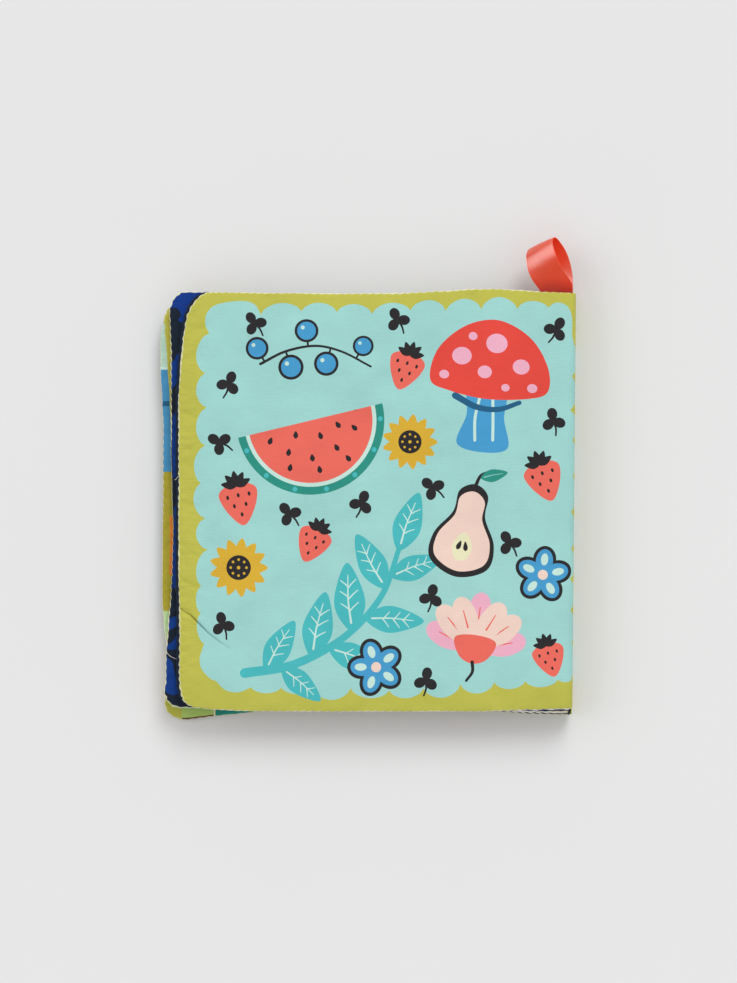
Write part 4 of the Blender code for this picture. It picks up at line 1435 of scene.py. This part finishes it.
def tube(line, radii, sides=8):
    """A closed tube along points, with a flat map of the distances round and along it."""
    count, last = len(line), (len(line) - 1) * sides
    heading = unit(np.gradient(line, axis=0))
    side = unit(np.cross(heading, [0, 0, 1.0]))
    rise = np.cross(side, heading)
    t = np.linspace(0, 2 * math.pi, sides, endpoint=False)[:, None]
    rings = np.cos(t) * side[:, None] + np.sin(t) * rise[:, None]
    rings = line[:, None] + radii[:, None, None] * rings
    grid = np.arange(count * sides).reshape(count, sides)
    grid = np.column_stack([grid, grid[:, 0]])
    faces = quads(grid).tolist()
    for m, n in zip(grid[0].tolist(), grid[0, 1:].tolist()):
        faces += [(count * sides, n, m), (count * sides + 1, last + m, last + n)]
    far, round_it = distances(line), 2 * math.pi * radii.mean() / sides * np.arange(sides + 1)
    flat = np.stack(np.meshgrid(round_it, far), -1).reshape(-1, 2)
    caps = [(place, end) for place in round_it[:-1] for end in (far[0], far[-1])]
    walls = flat[quads(np.arange(len(flat)).reshape(count, -1))].reshape(-1, 2)
    points = np.concatenate([rings.reshape(-1, 3), line[[0, -1]]])
    return meshed("tube", points, faces, np.concatenate([walls, np.repeat(caps, 3, 0)]))


COVER_RIM_STEP, PAGE_RIM_STEP = 0.00046, 0.00062  # spacing of the points along the sewn edges


class OBJECT_OT_soft_book_cloths(bpy.types.Operator):
    """Lay the eight printed cloths over the leaves"""

    bl_idname = "object.soft_book_cloths"
    bl_label = "Printed cloths"
    bl_options = {"REGISTER", "UNDO"}

    def execute(self, context):
        for cloth in CLOTHS:
            if cloth.name.endswith("cover"):
                mesh = printed_mesh(cloth, sizes().cover_mesh, COVER_RIM_STEP)
            else:
                mesh = printed_mesh(cloth, sizes().page_mesh, PAGE_RIM_STEP)
            made = piece(cloth.name, mesh, "cloth", None)
            thickened(made, sizes().cloth, -1)
            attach(made, cloth.leaf.name)
            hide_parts(cloth.name + "_cloth")
        return {"FINISHED"}


FILLING_INSET = 0.0016  # how far in from the leaf's edge the filling ends
FILLING_COLUMNS, FILLING_ROWS = 44, 46
# How far below the leaf's faces the filling's own two faces and the film lie at the full height
WADDING_TOP, WADDING_BOTTOM, FILM_TOP = 0.0021, 0.0017, 0.0016
FLUFF, FACETS = 0.00022, 0.00016  # heights of the wadding's lumps and the film's facets


class OBJECT_OT_soft_book_filling(bpy.types.Operator):
    """Fill the leaves with wadding and crinkle film"""

    bl_idname = "object.soft_book_filling"
    bl_label = "Wadding and film"
    bl_options = {"REGISTER", "UNDO"}

    def execute(self, context):
        faces, _, _ = pad_faces(FILLING_COLUMNS, FILLING_ROWS)
        for leaf in LEAVES:
            width = leaf.width - PAD_SETBACK - 2 * FILLING_INSET
            height = leaf.height - 2 * FILLING_INSET
            p, q, depth = pad_plan(
                width, height, CORNER_RADIUS - FILLING_INSET, FILLING_COLUMNS, FILLING_ROWS)
            full = crown(np.minimum(depth, width - p) / (EDGE_REACH - FILLING_INSET))
            spots = list(zip(p.ravel(), q.ravel()))
            fluff = full * FLUFF * np.reshape([
                noise.noise(Vector((a * 190, b * 190, leaf.middle * 900)))
                for a, b in spots], p.shape)
            facets = full * FACETS * np.reshape([
                noise.ridged_multi_fractal(
                    Vector((a * 60, b * 60, leaf.middle * 500)), 1.0, 2.1, 3, 1.0, 1.8)
                for a, b in spots], p.shape)
            film = leaf.middle + (HALF - FILM_TOP) * full + facets
            s, q = p + FILLING_INSET, q + FILLING_INSET
            dx, dy = drift(leaf, s, q)
            for name, finish, stands_for, sides in (
                    ("_filling", "wadding", "_wadding", (
                        leaf.middle + (HALF - WADDING_TOP) * full + fluff,
                        leaf.middle - (HALF - WADDING_BOTTOM) * full - 0.00002 + fluff)),
                    ("_film", "film", "_crinkle_film", (film + 0.00001, film - 0.00007))):
                points = np.concatenate([
                    placed(leaf, s - leaf.width + dx, q + dy, z).reshape(-1, 3) for z in sides])
                mesh = meshed(leaf.name + name, points, faces[:, ::leaf.side].tolist())
                made = piece(leaf.name + name, mesh, finish, leaf.name)
                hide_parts(leaf.name + stands_for)
        return {"FINISHED"}


# Loose ends of seam thread, as points in the row frame, in millimetres
LOOSE_ENDS = (
    ("third_leaf", (
        (-88.3, -77.9, 12.6), (-87.1, -79.3, 13.2), (-85.2, -80.4, 13.7), (-82.4, -81.2, 14.1))),
    ("back_leaf", (
        (-83.2, -0.2, 17.2), (-84.0, -0.8, 17.3), (-84.6, -1.5, 16.8), (-85.2, -1.9, 16.2))),
)
LOOSE_RADIUS = 0.00010
SEAM_INSET, SEAM_STOP = 0.00012, 0.0034  # in from the edge, and short of the binding line


class OBJECT_OT_soft_book_seams(bpy.types.Operator):
    """Sew the three edges of each leaf"""

    bl_idname = "object.soft_book_seams"
    bl_label = "Seam thread"
    bl_options = {"REGISTER", "UNDO"}

    def execute(self, context):
        for leaf in LEAVES:
            s, q = outline(leaf, SEAM_INSET, leaf.width - SEAM_STOP, 0.0005).T
            dx, dy = drift(leaf, s, q)
            phase = stitch_phase(rim_of(leaf, s, q)[3])
            line = placed(leaf, s - leaf.width + dx * free_of_spine(leaf, s), q + dy, leaf.middle)
            line[:, 2] += 0.00005 * np.sin(phase)
            radii = sizes().seam_thread * (0.42 + 0.58 * np.abs(np.sin(phase / 2)) ** 0.5)
            piece(leaf.name + "_seam", tube(line, radii), "thread", leaf.name)
        for body, points in LOOSE_ENDS:
            line = space_curve(points, 8)
            radii = np.full(len(line), LOOSE_RADIUS)
            piece(body + "_thread_end", tube(line, radii), "thread", body)
        return {"FINISHED"}


BINDING_STITCH, STITCH_POINTS = 0.0036, 12


class OBJECT_OT_soft_book_binding(bpy.types.Operator):
    """Stitch the two sheets together down the fold"""

    bl_idname = "object.soft_book_binding"
    bl_label = "Binding stitches"
    bl_options = {"REGISTER", "UNDO"}

    def execute(self, context):
        low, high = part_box("binding_thread")
        count = int((high.y - low.y) / BINDING_STITCH)
        start = (low.y + high.y - count * BINDING_STITCH) / 2
        along = np.arange(count * STITCH_POINTS + 1) / STITCH_POINTS
        bow = np.sin(math.pi * (along % 1)) ** 0.45
        line = np.stack(np.broadcast_arrays(
            HINGE.x + 0.00003 * bow, start + along * BINDING_STITCH, HINGE.z), -1)
        radii = sizes().binding_thread * (0.30 + 0.70 * bow)
        made = piece("binding_stitches", tube(line, radii, 10), "thread", "front_leaf")
        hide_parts("binding_thread")
        return {"FINISHED"}


# The ribbon's two edges from the front strand's end in the seam, over the fold and back, in
# millimetres in the row frame: left edge, then right edge
RIBBON_EDGES = (
    ((75.1, 81.4, 17.18), (89.4, 81.5, 17.18)),
    ((74.9, 82.8, 17.25), (89.3, 82.8, 17.3)),
    ((73.1, 85.2, 17.5), (89.0, 85.6, 18.2)),
    ((71.15, 88.0, 17.9), (87.8, 87.9, 19.4)),
    ((69.9, 90.8, 18.0), (85.6, 90.8, 20.9)),
    ((69.2, 93.2, 17.8), (83.5, 94.0, 22.0)),
    ((69.0, 95.6, 17.1), (81.9, 97.5, 22.7)),
    ((68.8, 97.8, 16.0), (80.8, 100.6, 22.6)),
    ((69.2, 99.7, 14.5), (80.1, 103.4, 21.9)),
    ((70.0, 101.1, 13.0), (80.2, 105.4, 20.8)),
    ((71.0, 101.6, 11.8), (81.1, 106.2, 19.4)),
    ((71.5, 101.1, 11.2), (82.5, 105.5, 17.9)),
    ((71.6, 99.7, 11.0), (84.1, 103.6, 16.4)),
    ((72.1, 97.2, 11.2), (85.9, 101.0, 15.2)),
    ((73.0, 94.2, 12.0), (87.5, 97.5, 14.5)),
    ((73.9, 91.0, 13.2), (88.6, 93.7, 14.4)),
    ((74.6, 88.0, 14.8), (89.3, 89.6, 15.0)),
    ((75.1, 85.2, 16.1), (89.5, 85.8, 16.0)),
    ((75.1, 82.8, 16.75), (89.4, 82.8, 16.7)),
    ((75.1, 81.4, 16.82), (89.4, 81.5, 16.82)),
)


RIBBON_WIDTH, RIBBON_COLUMNS = 0.015, 26
CUP, CUP_BEAT = 0.00022, 0.0061  # how far the ribbon cups across, and how that changes along it


class OBJECT_OT_soft_book_ribbon(bpy.types.Operator):
    """Loop the satin ribbon into the head seam"""

    bl_idname = "object.soft_book_ribbon"
    bl_label = "Ribbon loop"
    bl_options = {"REGISTER", "UNDO"}

    def execute(self, context):
        left, right = (space_curve(edge, 10) for edge in zip(*RIBBON_EDGES))
        swing = np.cos(math.pi * np.linspace(0, 1, RIBBON_COLUMNS + 1))
        share = (0.5 - 0.5 * swing * (0.82 + 0.18 * np.abs(swing)))[:, None]
        rows = left[:, None] * (1 - share) + right[:, None] * share
        middle = rows.mean(1)
        far = distances(middle)
        across = unit(np.cross(np.gradient(middle, axis=0), right - left))
        cup = CUP * np.sin(far / CUP_BEAT + 0.5) * smooth(0.001, 0.006, far)
        cup = cup * smooth(far[-1] - 0.001, far[-1] - 0.006, far)
        rows = rows + across[:, None] * cup[:, None, None] * np.sin(math.pi * share)
        faces = quads(np.arange(rows[..., 0].size).reshape(rows.shape[:2]))
        flat = np.stack(np.meshgrid(share * RIBBON_WIDTH, far), -1).reshape(-1, 2)
        mesh = meshed("satin_ribbon", rows.reshape(-1, 3), faces.tolist(), flat[faces])
        made = piece("satin_ribbon", mesh, "satin", None)
        thickened(made, sizes().ribbon, 0)
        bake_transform(made)
        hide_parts("ribbon_loop")
        return {"FINISHED"}


CAMERA_LENS, SENSOR_WIDTH = 200.0, 36.0
CAMERA_ROLL = 0.5
VIEW_HEIGHT = 0.4325
VIEW_CENTRE = (0.00018, -0.00627)
COVER_LEVEL = 0.0193
SOFT_BOX = (-0.76, 0.20, 0.62)


# Each lamp's direction, strength and spread in degrees
LAMPS = (("Key", (-0.30, -0.92, -0.92), 1.26, 30), ("Fill", (0.8, -0.2, -0.70), 0.48, 40))


class OBJECT_OT_soft_book_stage(bpy.types.Operator):
    """Set up the pale floor, the soft light and the camera straight above"""

    bl_idname = "object.soft_book_stage"
    bl_label = "Stage"
    bl_options = {"REGISTER", "UNDO"}

    def execute(self, context):
        scene = context.scene
        bpy.ops.object.select_all(action="DESELECT")
        bpy.ops.mesh.primitive_circle_add(vertices=96, radius=3.0, fill_type="NGON")
        floor = context.active_object
        floor.name = "floor"
        floor.data.materials.append(finish_of("paper"))
        scene.world = bpy.data.worlds.new("Studio")
        scene.world.use_nodes = True
        tree = scene.world.node_tree
        tree.nodes.clear()
        rays = node(tree, "LightPath").outputs
        white = (1, 1, 1, 1)
        light = node(tree, "Background", Color=white, Strength=0.62)
        shown = node(tree, "Background", Color=linear("E8E8E8"), Strength=1.0)
        # what shiny cloth mirrors: a soft box on the left in a darker room
        way = node(tree, "TexCoord").outputs["Generated"]
        toward = node(tree, "VectorMath", operation="DOT_PRODUCT", _0=way, _1=SOFT_BOX)
        glow = eased(tree, toward.outputs["Value"], 0.78, 0.97, 0.06, 2.4)
        mirrored = node(tree, "Background", Color=white, Strength=glow)
        shiny = node(tree, "MixShader", _0=rays["Is Glossy Ray"], _1=light, _2=mirrored)
        mixed = node(tree, "MixShader", _0=rays["Is Camera Ray"], _1=shiny, _2=shown)
        node(tree, "OutputWorld", Surface=mixed)
        for name, direction, strength, spread in LAMPS:
            lamp = bpy.data.lights.new(name, "SUN")
            lamp.energy, lamp.angle = strength, math.radians(spread)
            holder = bpy.data.objects.new(name, lamp)
            context.collection.objects.link(holder)
            holder.rotation_mode = "QUATERNION"
            holder.rotation_quaternion = Vector(direction).to_track_quat("-Z", "Y")
        camera = bpy.data.cameras.new("Above")
        camera.lens, camera.sensor_width = CAMERA_LENS, SENSOR_WIDTH
        camera.clip_start, camera.clip_end = 0.01, 20
        holder = bpy.data.objects.new("Above", camera)
        context.collection.objects.link(holder)
        holder.location = (*VIEW_CENTRE, COVER_LEVEL + VIEW_HEIGHT * CAMERA_LENS / SENSOR_WIDTH)
        holder.rotation_euler.z = math.radians(CAMERA_ROLL)
        scene.camera = holder
        scene.view_settings.view_transform = "Standard"
        return {"FINISHED"}


class VIEW3D_PT_soft_book(bpy.types.Panel):
    """The soft book's pieces, in the order in which they are made"""

    bl_idname = "VIEW3D_PT_soft_book"
    bl_label = "Soft book"
    bl_space_type = "VIEW_3D"
    bl_region_type = "UI"
    bl_category = "Soft book"

    def draw(self, context):
        for operator in OPERATORS:
            self.layout.operator(operator.bl_idname)
        for group in (context.scene.soft_book_sizes, context.scene.soft_book_colours):
            for key in group.__annotations__:
                self.layout.prop(group, key)


OPERATORS = (
    OBJECT_OT_soft_book_filling, OBJECT_OT_soft_book_cloths, OBJECT_OT_soft_book_seams,
    OBJECT_OT_soft_book_binding, OBJECT_OT_soft_book_ribbon, OBJECT_OT_soft_book_stage,
)
CLASSES = (SoftBookSizes, SoftBookColours, *OPERATORS, VIEW3D_PT_soft_book)


def register():
    for each in CLASSES:
        bpy.utils.register_class(each)
    bpy.types.Scene.soft_book_sizes = bpy.props.PointerProperty(type=SoftBookSizes)
    bpy.types.Scene.soft_book_colours = bpy.props.PointerProperty(type=SoftBookColours)


def unregister():
    del bpy.types.Scene.soft_book_sizes
    del bpy.types.Scene.soft_book_colours
    for each in reversed(CLASSES):
        bpy.utils.unregister_class(each)


def main():
    register()
    bpy.ops.object.soft_book_filling()
    bpy.ops.object.soft_book_cloths()
    bpy.ops.object.soft_book_seams()
    bpy.ops.object.soft_book_binding()
    bpy.ops.object.soft_book_ribbon()
    bpy.ops.object.soft_book_stage()


if __name__ == "__main__":
    main()
